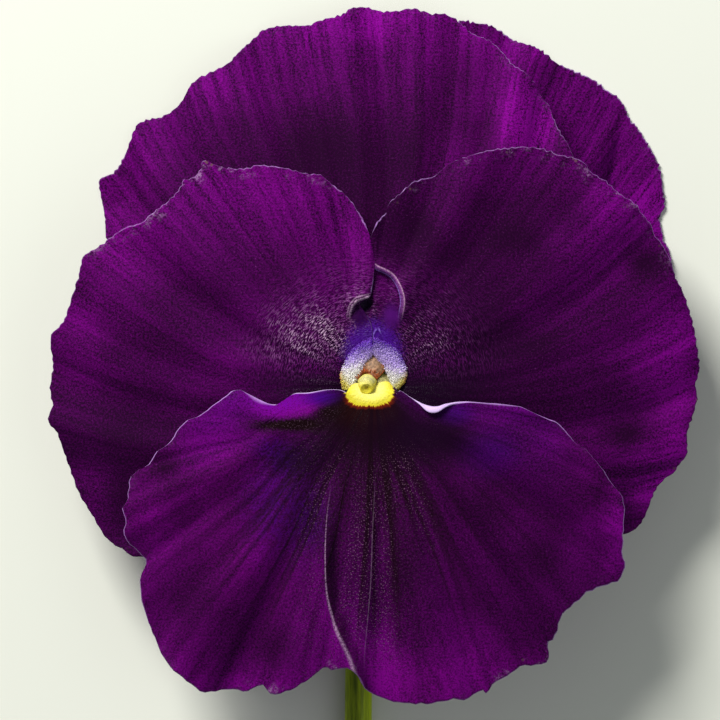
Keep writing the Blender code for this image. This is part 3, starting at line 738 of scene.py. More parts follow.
# %% From claw to margin
CLAW_STEPS = np.linspace(0, 1, 19)[:-1]
BLADE_STEPS = np.concatenate([np.linspace(0, 0.96, 121)[:-1], 0.96 + 0.04 * np.linspace(0, 1, 12) ** 0.6])
PALATE_EDGE = listed("-2.3 -0.45, -1.9 0.05, -1.1 0, 0.1 0, 0.9 0.15, 1.6 0.15, 2.2 -0.4")
# the shoulder's place up the flank, and how far its roll reaches below and above it
SHOULDER, SHOULDER_BELOW, SHOULDER_ABOVE = 0.31, 0.13, 0.2


def claw_foot(petal, count):
    """The claw's foot, an arc of a ring round the ovary."""
    angle = np.radians(np.linspace(*petal["claw"], count))
    return np.stack([np.cos(angle), np.sin(angle)], axis=-1) * RING_RADIUS


def claw_rows(petal, rim):
    """Rows of the claw, from its foot up to the blade's first row. It spreads out late in the climb."""
    spread = smoothstep(0.45, 1, CLAW_STEPS[:, None, None])
    plan = claw_foot(petal, len(rim)) * (1 - spread) + rim[:, :2] * spread
    height = RING_HEIGHT + (rim[:, 2] - RING_HEIGHT) * CLAW_STEPS[:, None]
    return np.concatenate([plan, height[..., None]], axis=-1)


def palate_rows(petal, rim, u):
    """The lower petal's claw: rows at a few heights, lofted, that swell inwards below the rim."""
    foot, inner, outer = claw_foot(petal, len(rim)), curve_through(PALATE_EDGE, u), rim[:, :2]
    bulge = np.sin(math.pi * u)
    rows = [
        (foot, RING_HEIGHT + 0 * u),
        (foot, 11.4 + 0 * u),
        (foot * 0.55 + inner * 0.45, 13 + 0 * u),
        (inner, 14.55 + 0.15 * bulge),
        (inner * 0.8 + outer * 0.2, 15.25 + 0.25 * bulge),
        (inner * 0.4 + outer * 0.6, 15.8 + 0.3 * bulge),
        (outer, rim[:, 2]),
    ]
    return loft([np.column_stack(row) for row in rows], 7)[:-1]


def roll_lower(grid, v):
    """Rolls the lower petal's two flanks: the right one tightly at its shoulder, the left one a little."""
    shoulder = bell(v - SHOULDER, np.where(v > SHOULDER, SHOULDER_ABOVE, SHOULDER_BELOW))
    grid = rolled(grid, 0.03 + 0.33 * shoulder, 0.7 + 2.7 * shoulder, 3)
    return rolled(grid[:, ::-1], 0.03 + 0 * v, 1.1 + 0 * v, 1.2)[:, ::-1]


def build_petal(name, finish, light):
    """A whole petal, with what its finish needs to know at each point."""
    petal = PETALS[name]
    u, v = spaced(petal["columns"]), BLADE_STEPS
    plan = blade_plan(petal, u, v)
    extra, first, second, pit, smooth = FORMS.get(name, no_forms)(plan[..., 0], plan[..., 1])
    height = np.maximum(blade_height(petal, plan, u, v) + extra, CAD_THICKNESS / 2)
    grid = np.dstack([plan, height])
    if name == "petal_lower":
        grid = roll_lower(grid, v)
        claw = palate_rows(petal, grid[0], u)
    else:
        claw = claw_rows(petal, grid[0])
    middle = np.concatenate([claw, grid])
    steps = np.concatenate([np.linspace(-1, 0, len(claw), endpoint=False), v])
    points, quads, face = blade(middle, PETAL_THICKNESS, PETAL_ROUNDING)

    def over_claw(*blade_facts):
        padded = [np.pad(fact, ((len(claw), 0), (0, 0)), "edge") for fact in blade_facts]
        return np.stack([both_skins(fact) for fact in padded], axis=-1)

    angle = np.arctan2(points[:, 1], points[:, 0]) - math.atan2(*middle[-1, len(u) // 2, 1::-1])
    angle = (angle + math.pi) % (2 * math.pi) - math.pi
    along = both_skins(steps[:, None] + 0 * u)
    across = both_skins(0 * steps[:, None] + u)
    new_piece(
        name + "_bloom", points, [quads], [name], petal["slot"], finish,
        polar=np.stack([angle * 10, np.hypot(points[:, 0], points[:, 1]), points[:, 2] * 0.3], axis=-1),
        veins=np.stack([across * 60, along * 30, face], axis=-1),
        first_line=over_claw(*first, pit), second_line=over_claw(*second, smooth),
        face=face, along=along, edge=both_skins(distance_to_rim(middle)[0]), light=light_at(points, *light),
    )


# %% [markdown]
# ## The petals' velvet
#
# A pansy's petal looks like velvet because its skin is covered in tiny cone-shaped cells, which drink
# light seen from above and glow at a slant. So the petals get almost no mirror-like reflection, and a
# violet sheen instead. Veins and darker bands fan out over it. The glints of its grain are smaller than
# a render can show as bump, so they are painted.

# %% The petals' velvet
# the velvet's purple when lit and when in shade; the painted light and shade of the petals blend the two
LIT_PURPLE = (0.16, 0.0012, 0.186)
SHADED_PURPLE = (0.012, 0.0006, 0.0132)
VELVET_SHADOW = (0.005, 0.0003, 0.006)
# pale painted glints of the velvet's grain
VELVET_GLINT = (0.2, 0.075, 0.2)
FULL_GRAIN = 0.95


class Velvet:
    """What all petals' finishes share: where a point is, and the colour painted there so far."""

    def __init__(self, name):
        self.made, self.wire = new_finish(name)
        wire = self.wire
        self.place, self.polar, self.veins = (wire.facts(fact) for fact in ("place", "polar", "veins"))
        self.turn, self.reach, _ = self.polar.parts()
        self.x, self.y, _ = self.place.parts()
        self.first, self.first_ends, self.pit = wire.facts("first_line").parts()
        self.second, self.second_ends, self.smooth = wire.facts("second_line").parts()
        self.face, self.along, self.edge = (wire.fact(fact) for fact in ("face", "along", "edge"))
        self.lit = wire.fact("light")
        self.flat = self.place.stretched((1, 1, 0))
        self.lines = self.drawn_out(0.1, 1, 3, 0.6)
        self.fibres = self.drawn_out(0.4, 3, 3, 0.7)
        self.bands = self.drawn_out(0.16, 0.22, 2, 0.5)
        self.grain = self.flat.noise(4.6, 2, 0.9)
        self.tufts = self.polar.stretched((0.55, 0.1, 0)).noise(1, 2, 0.55).ramp(0.42, 0.62)
        self.ridges = self.polar.stretched((2.1, 9.6, 0)).noise(1, 2, 0.5, 0.7)
        self.wrinkles = self.ridges.ramp(0.45, 0.62)
        self.near = self.reach.fall(4, 13.5) * (1 - self.smooth)

    def drawn_out(self, share, *noise):
        """Noise that is drawn out along the veins. share is how fast it changes that way."""
        return self.veins.stretched((1, share, 0)).noise(*noise)

    def paint(self, mask, colour):
        """Lays a colour over what is there."""
        self.colour = mask.blend(self.colour, colour)

    def glow(self, *spots):
        """Soft ellipses, each by its middle, half width and half height in millimetres, and its gain."""
        soft = []
        for x, y, wide, high, gain in spots:
            away = self.place.stretched((1 / wide, 1 / high, 0), (-x / wide, -y / high, 0)).length()
            soft.append(away.fall(0, 1, gain))
        return functools.reduce(Wire.__add__, soft)

    def purple(self, banded, veined, grainy):
        """The ground colour: bands, veins, fibres and grain, all scaled by how well lit the place is."""
        clouds = self.flat.noise(0.13, 3, 0.55)
        creases = self.drawn_out(0.05, 0.6, 2, 0.5, 0.3).ridged()
        shade = self.lines.ramp(0.3, 0.7) * 0.24 + self.bands.ramp(0.3, 0.7) * banded
        shade = shade - creases.ramp(0.78, 0.97) * self.reach.ramp(8, 18, 0, veined)
        shade = shade + clouds.ramp(0.3, 0.7) * 0.24 + self.fibres.ramp(0.34, 0.66) * 0.26
        base = 0.32 - banded * 0.5 + (FULL_GRAIN - grainy) * 0.5 - 0.42
        shade = (shade + self.grain.ramp(0.28, 0.72) * grainy + base) * self.lit
        self.colour = (shade + self.grain.ramp(0.3, 0.7, -0.09, 0.07)).blend(SHADED_PURPLE, LIT_PURPLE)
        self.paint(self.grain.ramp(0.52, 0.34, 0, 0.26 * grainy), VELVET_SHADOW)
        # painted glints: pale specks on the grain
        sparkle = self.grain.ramp(0.62, 0.8) * self.flat.noise(0.5, 2, 0.5).ramp(0.4, 0.62)
        self.paint(sparkle * self.reach.ramp(8, 26, 0.55, 0.2), VELVET_GLINT)


# %% [markdown]
# ## Wrinkles, margin and underside
#
# Near the throat the skin is puckered into short wrinkles that run round the flower. There it is smooth
# enough to shine, so a second, glossier surface is mixed in where the wrinkles are. Their hollows are
# painted dark as shade, and their crests carry painted highlights and glints. The margin is drawn with a
# thin pale painted highlight, with painted sheen (frost) and a few brown spots beside it, and the
# underside is a pale, veined lilac.

# %% Wrinkles, margin and underside
# the throat's own dark, which also paints shade in the wrinkles' hollows
THROAT_DARK_AND_SHADE = (0.0065, 0.0008, 0.008)
# painted highlight on the wrinkles' crests
WRINKLE_HIGHLIGHT = (0.18, 0.007, 0.2)
# pale painted glints on the wrinkles and on the hook's crest
WRINKLE_GLINT = (0.42, 0.27, 0.4)
# painted sheen near the margin
MARGIN_SHEEN = (0.2, 0.105, 0.22)
BROWN_SPOT = (0.1, 0.05, 0.05)
# painted highlight along the margin
MARGIN_HIGHLIGHT = (0.42, 0.24, 0.58)
UNDERSIDE = (0.25, 0.08, 0.34)
UNDERSIDE_VEIN = (0.13, 0.025, 0.19)
PALE_UNDERSIDE = (0.56, 0.42, 0.7)
SHEEN_VIOLET = (0.55, 0.05, 0.9)
SKIN_DEPTH = 0.15


def paint_wrinkles(velvet, strength, rare, violet, pale_spot):
    """The wrinkles: painted shade between crests, painted highlights on them, pale glints facing the
    window.

    rare is the height from which a crest is pale. Where it is violet, the wrinkles are fainter.
    """
    ridges, y, bare = velvet.ridges, velvet.y, 1 - velvet.smooth
    wide = velvet.reach.fall(6, 17) * bare
    # painted shade in the hollows between the crests
    hollows = ridges.fall(0.38, 0.54, 0.8) * y.ramp(-2, 1.5) * y.ramp(6, 12, 1, 0.6)
    velvet.paint(hollows * wide * (1 - violet * 0.45), THROAT_DARK_AND_SHADE)
    # painted highlight on the crests
    crests = velvet.wrinkles * y.ramp(-0.5, 2.8) * (0.45 * strength)
    velvet.paint(crests * wide * (1 - violet), WRINKLE_HIGHLIGHT)
    # pale painted glints where the crests face the window
    pale = ridges.ramp(rare, rare + 0.09) * y.ramp(1.6, 4) * (1 - violet * 0.8)
    pale = pale * (velvet.glow(pale_spot) + 0.12) * bare * (velvet.tufts * 0.75 + 0.25)
    velvet.paint(pale * velvet.reach.fall(6, 15), WRINKLE_GLINT)


def paint_margin(velvet, line, sheen_amount, broken, line_width):
    """The margin's painted sheen and brown spots, and its painted highlight line, broken where noise is
    low.
    """
    edge, place, flat = velvet.edge, velvet.place, velvet.flat
    free = velvet.along.ramp(0.12, 0.35)
    # painted sheen near the margin
    margin_sheen = edge.fall(0.1, 1.6, 0.85) * place.noise(0.45, 4, 0.8).ramp(0.5, 0.66) * free * sheen_amount
    velvet.paint(margin_sheen * flat.noise(3.2, 3, 0.8).ramp(0.44, 0.58, 0.05, 1), MARGIN_SHEEN)
    spots = flat.cells(1.3).fall(0.12, 0.26) * place.noise(0.25, 1, 0.5).ramp(0.59, 0.67)
    velvet.paint(edge.fall(0.3, 1.5, 0.8) * spots * velvet.along.ramp(0.7, 0.9), BROWN_SPOT)
    uneven = place.noise(1.6, 3, 0.7).ramp(0.35, 0.62, broken, 1)
    # painted highlight: the margin's thin pale line
    velvet.paint(edge.fall(0.02, line_width, line) * uneven * free, MARGIN_HIGHLIGHT)


def two_surfaces(velvet, wrinkled):
    """The painted upper skin over the underside, as dull velvet with shiny wrinkles mixed in."""
    reach, face = velvet.reach, velvet.face
    under = reach.ramp(6, 15).blend(PALE_UNDERSIDE, UNDERSIDE)
    under = (velvet.lines.ramp(0.4, 0.66) * reach.ramp(4, 12, 0.15, 0.8)).blend(under, UNDERSIDE_VEIN)
    blade_part = velvet.along.ramp(-0.1, 0.02)
    cones = velvet.flat.cells(7) * blade_part * 0.08 + velvet.flat.cells(5) * (1 - blade_part) * 0.35
    bump = velvet.ridges * velvet.near * (velvet.tufts * 0.7 + 0.3) * wrinkled + cones
    bump = bump + velvet.fibres * blade_part * 0.22
    same = {"Base_Color": face.ramp(0.25, 0.6).blend(under, velvet.colour), "IOR": 1.42}
    dull = surface(
        velvet.wire, bump, SKIN_DEPTH, **same, Roughness=0.7, Specular_IOR_Level=0.02, Sheen_Weight=0.1,
        Sheen_Roughness=0.4, Sheen_Tint=SHEEN_VIOLET,
    )
    shiny = surface(velvet.wire, bump, SKIN_DEPTH, **same, Roughness=0.34, Specular_IOR_Level=0.5)
    amount = velvet.near * velvet.wrinkles * velvet.tufts * face.ramp(0.5, 0.9) * (0.6 * wrinkled)
    both = velvet.wire.node("ShaderNodeMixShader", None, {0: amount, 1: dull, 2: shiny})
    return finished(velvet.made, both)


# %% [markdown]
# ## The upper and the side petals' finish
#
# The upper petals are plain velvet. The side petals are near black round the throat, and there the
# wrinkles show. Above each beard they turn violet, and the turned edges carry thin pale lines of
# painted highlight. The pit under the left hook is painted dark as shadow, and the hook's flap as shade.

# %% The upper and the side petals' finish
# painted shadow in the pit under the left hook
PIT_SHADOW = (0.03, 0.014, 0.045)
# painted shade on the left hook's flap, which turns away from the light
SHADED_FLAP_VIOLET = (0.013, 0.001, 0.028)
LIP_VIOLET = (0.05, 0.003, 0.1)
LIP_HIGHLIGHT_PINK = (0.4, 0.22, 0.36)
LIP_HIGHLIGHT_PURPLE = (0.17, 0.045, 0.22)
LIP_HIGHLIGHT_LAVENDER = (0.27, 0.16, 0.58)
THROAT_VIOLET = (0.052, 0.004, 0.2)
CLAW_CREAM = (0.5, 0.46, 0.2)
# painted highlights: thin pale lines along the crests of the turned edges
# distance, its ends, where the line is on it, the line's width, strength and colour
HOOK_HIGHLIGHTS = [
    ("first", "first_ends", 0.02, 0.12, 1, WRINKLE_GLINT),
    ("first", "first_ends", 0.24, 0.1, 0.6, WRINKLE_GLINT),
]
LIP_HIGHLIGHTS = [
    ("first", "first_ends", 0, 0.24, 0.9, LIP_HIGHLIGHT_PURPLE),
    ("first", "first_ends", -0.13, 0.09, 0.9, LIP_HIGHLIGHT_PINK),
    ("first", "first_ends", 0.15, 0.07, 0.7, LIP_HIGHLIGHT_LAVENDER),
    ("second", "second_ends", 0, 0.06, 0.55, LIP_HIGHLIGHT_LAVENDER),
]


def upper_velvet(name):
    """An upper petal: plain velvet, with a pale painted highlight where the left one lies on the right one.
    """
    velvet = Velvet(name)
    velvet.purple(0.12, 0.28, 0.7)
    line = velvet.y.ramp(18, 30, 0.2, 0.4) + velvet.x.ramp(5, 10, 0, 0.4)
    paint_margin(velvet, line, 0.15, 0.25, 0.15)
    return two_surfaces(velvet, 0)


def side_velvet(name, wrinkled, rare, pale_spot, shade, flap, lines):
    """A side petal: dark and puckered near the throat, with violet above the beard.

    shade is how far out the dark runs, and the two heights between which it fades upwards.
    """
    velvet = Velvet(name)
    velvet.purple(0.26, 0.24, 0.76)
    low = velvet.y.ramp(shade[1], shade[2], 1, 0.25)
    dark = (velvet.reach + (velvet.lines - 0.5) * 8).fall(4, shade[0], 0.92) * low
    velvet.paint(dark, THROAT_DARK_AND_SHADE)
    from_throat = velvet.place.stretched((0.31, 0.26, 0), (0, -0.77, 0)).length()
    fuzzy = from_throat + (velvet.grain - 0.5) * 0.9
    violet = fuzzy.fall(0.7, 1.12) * velvet.y.ramp(1.2, 3.4)
    velvet.paint(violet * 0.85, THROAT_VIOLET)
    # the smooth flap's colour, which on the left petal is painted shade
    velvet.paint(velvet.smooth * 0.8, flap)
    paint_wrinkles(velvet, wrinkled, rare, violet, pale_spot)
    # painted highlights along the turned edges' crests
    for fact, ends, middle, width, strength, colour in lines:
        stroke = (getattr(velvet, fact) - middle).absolute().fall(0, width) * getattr(velvet, ends)
        velvet.paint(stroke * velvet.grain.ramp(0.3, 0.6, 0.25, 1) * strength, colour)
    # painted shadow in the pit
    velvet.paint(velvet.pit.ramp(0.02, 0.5), PIT_SHADOW)
    velvet.paint(velvet.along.fall(-0.25, -0.02), CLAW_CREAM)
    sheen_amount = velvet.y.ramp(10, 17, 0, 1.3) * velvet.x.absolute().ramp(2, 6)
    paint_margin(velvet, velvet.y.ramp(-4, 12, 0.1, 0.6), sheen_amount, 0.25, 0.15)
    return two_surfaces(velvet, wrinkled)


# %% [markdown]
# ## The lower petal's finish
#
# The lower petal has a black blotch that runs out in rays, with painted blue glints beside it. Its
# palate is the yellow eye with a fringe of rust and red-brown. Its pleats carry painted light and shade
# on their two sides and a thin pale painted highlight on the crest, and a fold by the left shoulder is
# painted dark as shade, with pale painted glints. Each is a mask worked out from the place, and the
# colours are laid over each other like glazes.

# %% The lower petal's finish
LIT_VIOLET = (0.13, 0.0012, 0.26)
# painted blue glints, a painted reflection of the sky
BLUE_SHEEN = (0.05, 0.0012, 0.185)
# the blotch's own near black, which also paints shade in the fold and on the pleat's dark side
NEAR_BLACK_AND_SHADE = (0.0055, 0.0014, 0.0022)
BROWN_BLACK = (0.012, 0.0022, 0.0015)
# painted highlight on the pleats' crests
PLEAT_HIGHLIGHT = (0.33, 0.2, 0.32)
# pale painted glints
GLINT_PINK = (0.27, 0.13, 0.23)
YELLOW = (0.6, 0.52, 0.028)
PALE_YELLOW = (0.76, 0.7, 0.185)
RED_BROWN = (0.085, 0.008, 0.003)
RUST_ORANGE = (0.4, 0.06, 0.004)
PALATE_OLIVE = (0.42, 0.4, 0.05)


def paint_blues(velvet, aside):
    """Painted light: violet on the shoulders, blue glints by the blotch, where the skin turns to the sky.
    """
    blue = velvet.glow((-8.5, -12, 6.5, 9, 1.2), (-10.3, -6.2, 3, 1.6, 0.9))
    uneven = velvet.grain.ramp(0.3, 0.62)
    velvet.paint(blue * uneven * velvet.fibres.ramp(0.38, 0.62, 0.05, 0.5), BLUE_SHEEN)
    shoulder = aside.ramp(9, 14) * velvet.reach.fall(14, 24)
    velvet.paint(shoulder * uneven * velvet.lit * 0.7, LIT_VIOLET)
    left_blue = velvet.glow((-4.7, -1.3, 3.4, 1.3, 1.2))
    velvet.paint(left_blue * velvet.grain.ramp(0.25, 0.6, 0.55, 0.95), BLUE_SHEEN)
    right_blue = velvet.glow((8.2, -2.9, 3, 1.6, 1), (11.6, -6.8, 4.5, 3.5, 0.45))
    velvet.paint(right_blue * velvet.grain.ramp(0.3, 0.62, 0.3, 0.7), BLUE_SHEEN)


def paint_blotch(velvet, aside):
    """The blotch, its rays, the dark veins between them, the fold's painted shade and pale painted glints.
    """
    reach, fibres = velvet.reach, velvet.fibres
    rays = velvet.polar.stretched((1, 0.04, 0)).noise(0.62, 4, 0.62)
    dark = reach + (rays - 0.5) * 26 + aside.ramp(3, 12, 0, 12)
    rayed = 1 - velvet.y.ramp(-8.5, -4.5) * velvet.x.fall(-8, -4, 0.85)
    velvet.paint(dark.fall(7, 24, 0.92) * fibres.ramp(0.6, 0.35, 0.65, 1) * rayed, NEAR_BLACK_AND_SHADE)
    near = reach + aside.ramp(6, 15, 0, 4.5)
    velvet.paint(near.fall(4, 9.5, 0.95), NEAR_BLACK_AND_SHADE)
    velvet.paint(near.fall(2.5, 6.5, 0.8), BROWN_BLACK)
    thin = velvet.drawn_out(0.03, 0.42, 1, 0.5, 0.3).ridged()
    thinned = thin.ramp(0.88, 0.98) * reach.fall(15, 31, 0.8) * aside.ramp(2, 9, 1, 0.35)
    velvet.paint(thinned * rayed, NEAR_BLACK_AND_SHADE)
    velvet.paint(velvet.glow((5, -5, 9.5, 5.5, 0.92), (9.5, -9.5, 7, 6, 0.2)), THROAT_DARK_AND_SHADE)
    velvet.paint(velvet.glow((-5.6, -6.5, 6, 4.5, 1)) * fibres.ramp(0.6, 0.35, 0.5, 1), THROAT_DARK_AND_SHADE)
    # painted shade in the fold by the left shoulder, with pale painted glints on it
    fold = velvet.glow((-9.8, -4, 4.8, 1.1, 1.3), (-6.4, -3.9, 3.6, 1.4, 1.3), (-4.3, -2.7, 2.3, 1.2, 1.3))
    fold = fold * velvet.grain.ramp(0.35, 0.6, 1, 0.75)
    velvet.paint(fold, NEAR_BLACK_AND_SHADE)
    velvet.paint(fold * velvet.flat.noise(6, 1, 0.5).ramp(0.56, 0.72, 0, 0.13), GLINT_PINK)
    # pale painted glints over the middle of the petal
    middle = velvet.x.ramp(-10, -3) * velvet.x.fall(6, 14) * velvet.y.ramp(-31, -24)
    glint_dots = velvet.flat.noise(7, 1, 0.5).ramp(0.6, 0.72) * reach.ramp(5, 10) * middle
    glint_dots = glint_dots * velvet.x.fall(3, 8) * velvet.bands.ramp(0.4, 0.6, 0.2, 1)
    velvet.paint(glint_dots * thin.ramp(0.6, 0.92, 0.12, 0.5), GLINT_PINK)


def paint_pleats(velvet):
    """Painted light and shade on the pleat's two sides, and pale painted highlights on both crests."""
    first, ends, grain = velvet.first, velvet.first_ends, velvet.grain
    lit_side = first.ramp(-0.05, 0.1) * first.fall(0.2, 2.4) * ends
    velvet.paint(lit_side * velvet.y.ramp(-23, -15, 1, 0.1) * grain.ramp(0.25, 0.65) * 0.55, LIT_PURPLE)
    velvet.paint(first.ramp(-1.8, -0.1) * first.fall(-0.1, 0.02) * ends * 0.55, NEAR_BLACK_AND_SHADE)
    wide = velvet.y.ramp(-29, -17, 0.3, 0.07)
    crest = (first - 0.05).absolute().fall(0, wide) * ends
    velvet.paint(crest * grain.ramp(0.38, 0.56, 0.15, 0.9), PLEAT_HIGHLIGHT)
    crest = velvet.second.absolute().fall(0, 0.07) * velvet.second_ends
    velvet.paint(crest * velvet.fibres.ramp(0.35, 0.6, 0.15, 0.55), PLEAT_HIGHLIGHT)


def paint_palate(velvet):
    """The yellow eye: an oval with its corners filled, a torn edge, and a fringe of rust and red-brown."""
    fringe = velvet.polar.stretched((1, 0.35, 0)).noise(1.05, 3, 0.75) - 0.5
    oval_place = velvet.place.stretched((0.422, 0.565, 0), (0.108, 0.18, 0))
    across, down, _ = oval_place.parts()
    corners = (across * down).absolute() * velvet.reach.fall(3.5, 5.5, 0.2)
    patch = oval_place.length() - corners + fringe * 0.42
    velvet.paint(patch.fall(1.08, 1.2) * velvet.y.ramp(-2, -1, 1, 0.1), RED_BROWN)
    velvet.paint(patch.fall(1, 1.07, 0.5) * velvet.y.ramp(-1.4, -0.8, 1, 0.2), RUST_ORANGE)
    velvet.paint(patch.fall(0.96, 1.03), YELLOW)
    fluff = velvet.place.noise(3.6, 3, 0.8).ramp(0.35, 0.65)
    velvet.paint(patch.fall(0.45, 0.95) * (fluff * 0.35 + 0.65), PALE_YELLOW)
    velvet.paint(velvet.along.fall(-0.62, -0.45), PALATE_OLIVE)


def lower_velvet(name):
    """The lower petal: velvet, blue glints, blotch, pleats, yellow eye and margin, in that order."""
    velvet = Velvet(name)
    velvet.purple(0.26, 0.14, 0.6)
    aside = (velvet.turn + 1).absolute()
    paint_blues(velvet, aside)
    paint_blotch(velvet, aside)
    paint_pleats(velvet)
    paint_palate(velvet)
    sheen_amount = velvet.glow((-11, -30.5, 3, 3, 1.5), (14.5, -28, 6.5, 5, 1.6), (-3, -29, 4, 3, 1.2))
    steep = velvet.glow((-11.4, -1.5, 2.6, 1.8, 0.6), (13.2, -1.9, 4.2, 1.5, 0.5))
    paint_margin(velvet, aside.ramp(6, 11, 0.45, 0.9), sheen_amount + 0.08, 0.75, steep + 0.15)
    return two_surfaces(velvet, 0.15)


# %% [markdown]
# ## Light and shade on the petals
#
# The petals' slopes face the window or turn away from it, and velvet shows that more than other skins
# do. How bright each place is comes from a few ramps and soft ellipses, summed over all points at once
# and stored on the mesh. In the material they would be many nodes, more than the renderer takes.

# %% Light and shade on the petals
LIGHTS = {
    "petal_lower": (
        [('x', -12, -3, 0.39, 0.31), ('x', 5, 11, 0, -0.06), ('y', -31, -25, 0.52, 0)],
        listed("""
            -8.6 -1.9 6.2 2.4 1.6, -16 -6.5 6.5 5.5 0.32, -12.2 -2.4 2.6 1.8 -0.32, 14 -2.5 6.5 1.8 0.14,
            13.5 -5.8 4 2.5 -0.12, -14.7 -1.9 2.6 1.4 0.16, 18.3 -5.5 3.5 3 0.2, 7 -5.5 5 3.5 -0.28,
            21.8 -15.5 4 4.5 0.24, 25 -13.5 2.8 6 0.9, 21.5 -8.5 2.5 2.5 0.2, 24.5 -17.8 2.4 2.4 0.6,
            22.8 -14 3 2.5 0.22, -5.6 -25 3.2 5.5 0.28, 9.5 -27 6 5.5 0.55, 0.5 -27.5 5 6 0.6,
            -9.5 -26.5 3.5 5 -0.25, -22 -14 3.6 4.5 0.45, -5.7 -14 3 5 -0.25, 3.3 -18.5 3 6 -0.2,
            -18.5 -21.5 4.5 6 -0.22, -10.8 -28.5 4 4 -0.26, -2.7 -26.5 3 5 0.2, -8.5 -7.4 4.5 3 -0.4,
            -11.5 -17.2 3.6 3.6 0.28, 0.3 -17 2 4 0.12, 7 -23.5 3 3 0.16, 9.3 -29 3 2.5 0.3,
            -14.7 -23 3 2.5 -0.12, 0.4 -29.5 2.2 2.2 0.35, -2.7 -22.5 2.2 3 0.14, -12 -11 5 4 -0.14,
            11.5 -12.5 4 4.5 -0.14, 17 -17.5 4.5 4 -0.15, -20.7 -8 2.5 2.5 -0.3, -17.7 -11 3 2.5 0.25"""),
    ),
    "petal_side_left": (
        [('y', 11, 20, 0, 0.44), ('y', -6, 2, 0.13, 0.22)],
        listed("""
            -26 14 8 8 0.42, -2.5 12.5 6.5 8 0.34, -30 5 5 9 0.38, -28.5 -11 4 6 0.26, -7 6.5 4 4 0.1,
            -19.5 12 6 4.5 0.1, -24.5 6.5 5 3.5 0.16, -14.7 1.5 5 4 0.2, -18.5 -2 4 3 0.12,
            -16 19.5 6 4 0.08, -28 7.5 4 3 0.14, -13 7 4.5 3 0.12, -26.7 1 4 3 0.12, -25 -5 5 3.5 -0.1,
            -25 -11 3.5 3 -0.12"""),
    ),
    "petal_side_right": (
        [('x', 8, 26, 0.07, 0.27), ('y', 17, 24, 0, 0.3)],
        listed("""
            23 14.5 7 6 0.44, 30.8 3 6.5 9 0.85, 27.3 12.4 3.2 2.8 -0.36, 30 -8.5 5.5 6 1,
            1.2 9.6 4 4 0.46, 6.3 10.5 3.5 2.5 0.12, 25 -9 5.5 4 0.3, 7.5 17 6 4.5 0.14,
            24.9 18.5 5 4 0.46, 18 9 5.5 3.5 0.12, 20.5 16.5 3.5 3 -0.16, 27 1 5 4 0.2, 5 16 3 3 -0.14,
            27 16.2 3 2.2 0.28, 21.3 10.5 3.2 2.6 0.24, 24.3 3.5 3.5 3 0.14, 30.5 0.5 3 4 0.28,
            25.8 -5 4 2.5 -0.28, 31 -5.5 2.6 4 0.4, 27.6 -11.5 2.5 3 0.4, 15.3 7.2 3 2.2 0.12,
            16.8 3.8 4 2.2 -0.1, 31.2 -8.5 2.8 3.4 0.65, 12 20.5 3 2.5 0.14, 14.5 14.8 5 3 -0.12,
            10.5 3.8 6 3 -0.12"""),
    ),
    "petal_upper_left": (
        [('reach', 22.5, 37, 0.055, 0.6), ('x', -26, -19, 0.28, 0), ('x', 4, 13, 0, 0.12),
         ('y', 34, 38.5, 0, 0.34)],
        listed("""
            -15.5 30.5 4 4 0.25, 0 36.5 5 4.5 0.22, 9.6 32 4.5 5 -0.3, 7.2 21.8 4 4 0.26,
            15.8 27 4 5.5 1.2, 15.6 24.5 3.5 4 0.65, -5.5 25.5 6 6 -0.1, -14 26.5 5 4 -0.12,
            10.5 26.5 3.5 3 -0.15, -6.5 35 5 2.5 0.16, 8 24 4.5 4 0.14, 3.8 18.5 2.6 4 0.16"""),
    ),
    "petal_upper_right": (
        [('y', 14, 28, 0.95, 0.62)],
        listed("20 30 6 4 0.1, 15.5 34.5 4 3 0.25, 28.5 18 3.5 5 0.5"),
    ),
}


def light_at(points, ramps, spots):
    """How well lit each point is: ramps along x, y or the reach from the axis, plus soft ellipses.

    An ellipse is given by its middle, half width and half height in millimetres, and its gain.
    """
    x, y = points[:, 0], points[:, 1]
    facts = {"x": x, "y": y, "reach": np.hypot(x, y)}
    total = np.zeros(len(points))
    for fact, low, high, start, end in ramps:
        total += start + (end - start) * smoothstep(low, high, facts[fact])
    for middle_x, middle_y, wide, high, gain in spots:
        total += gain * smoothstep(1, 0, np.hypot((x - middle_x) / wide, (y - middle_y) / high))
    return total


VELVETS = {
    "petal_lower": lower_velvet("lower_petal_velvet"),
    "petal_side_left": side_velvet(
        "left_petal_velvet", 1, 0.53, (-6.9, 5.2, 8.8, 5.4, 1.05), (14, 2.3, 6), SHADED_FLAP_VIOLET, HOOK_HIGHLIGHTS
    ),
    "petal_side_right": side_velvet(
        "right_petal_velvet", 0.6, 0.59, (5, 3.8, 6.5, 4.5, 0.42), (20, 3, 14), LIP_VIOLET, LIP_HIGHLIGHTS
    ),
    "petal_upper_left": upper_velvet("upper_petal_velvet"),
    "petal_upper_right": upper_velvet("back_petal_velvet"),
}
for petal_name, finish in VELVETS.items():
    build_petal(petal_name, finish, LIGHTS[petal_name])


# %% [markdown]
# ## Short hairs
#
# The beards and the stamens' frayed tips are made of short, thick hairs. A particle system could grow
# them, but its strands are no mesh and have no thickness of their own. So each hair is a tiny club of
# three rings and a tip, and all hairs of a piece are worked out together. The mesh carries their
# colours.


# %% Short hairs
HAIR_RINGS = np.array([0, 0.45, 0.82])
HAIR_SHAPE = np.array([0.8, 1, 0.85])
HAIR_POINTS = 13


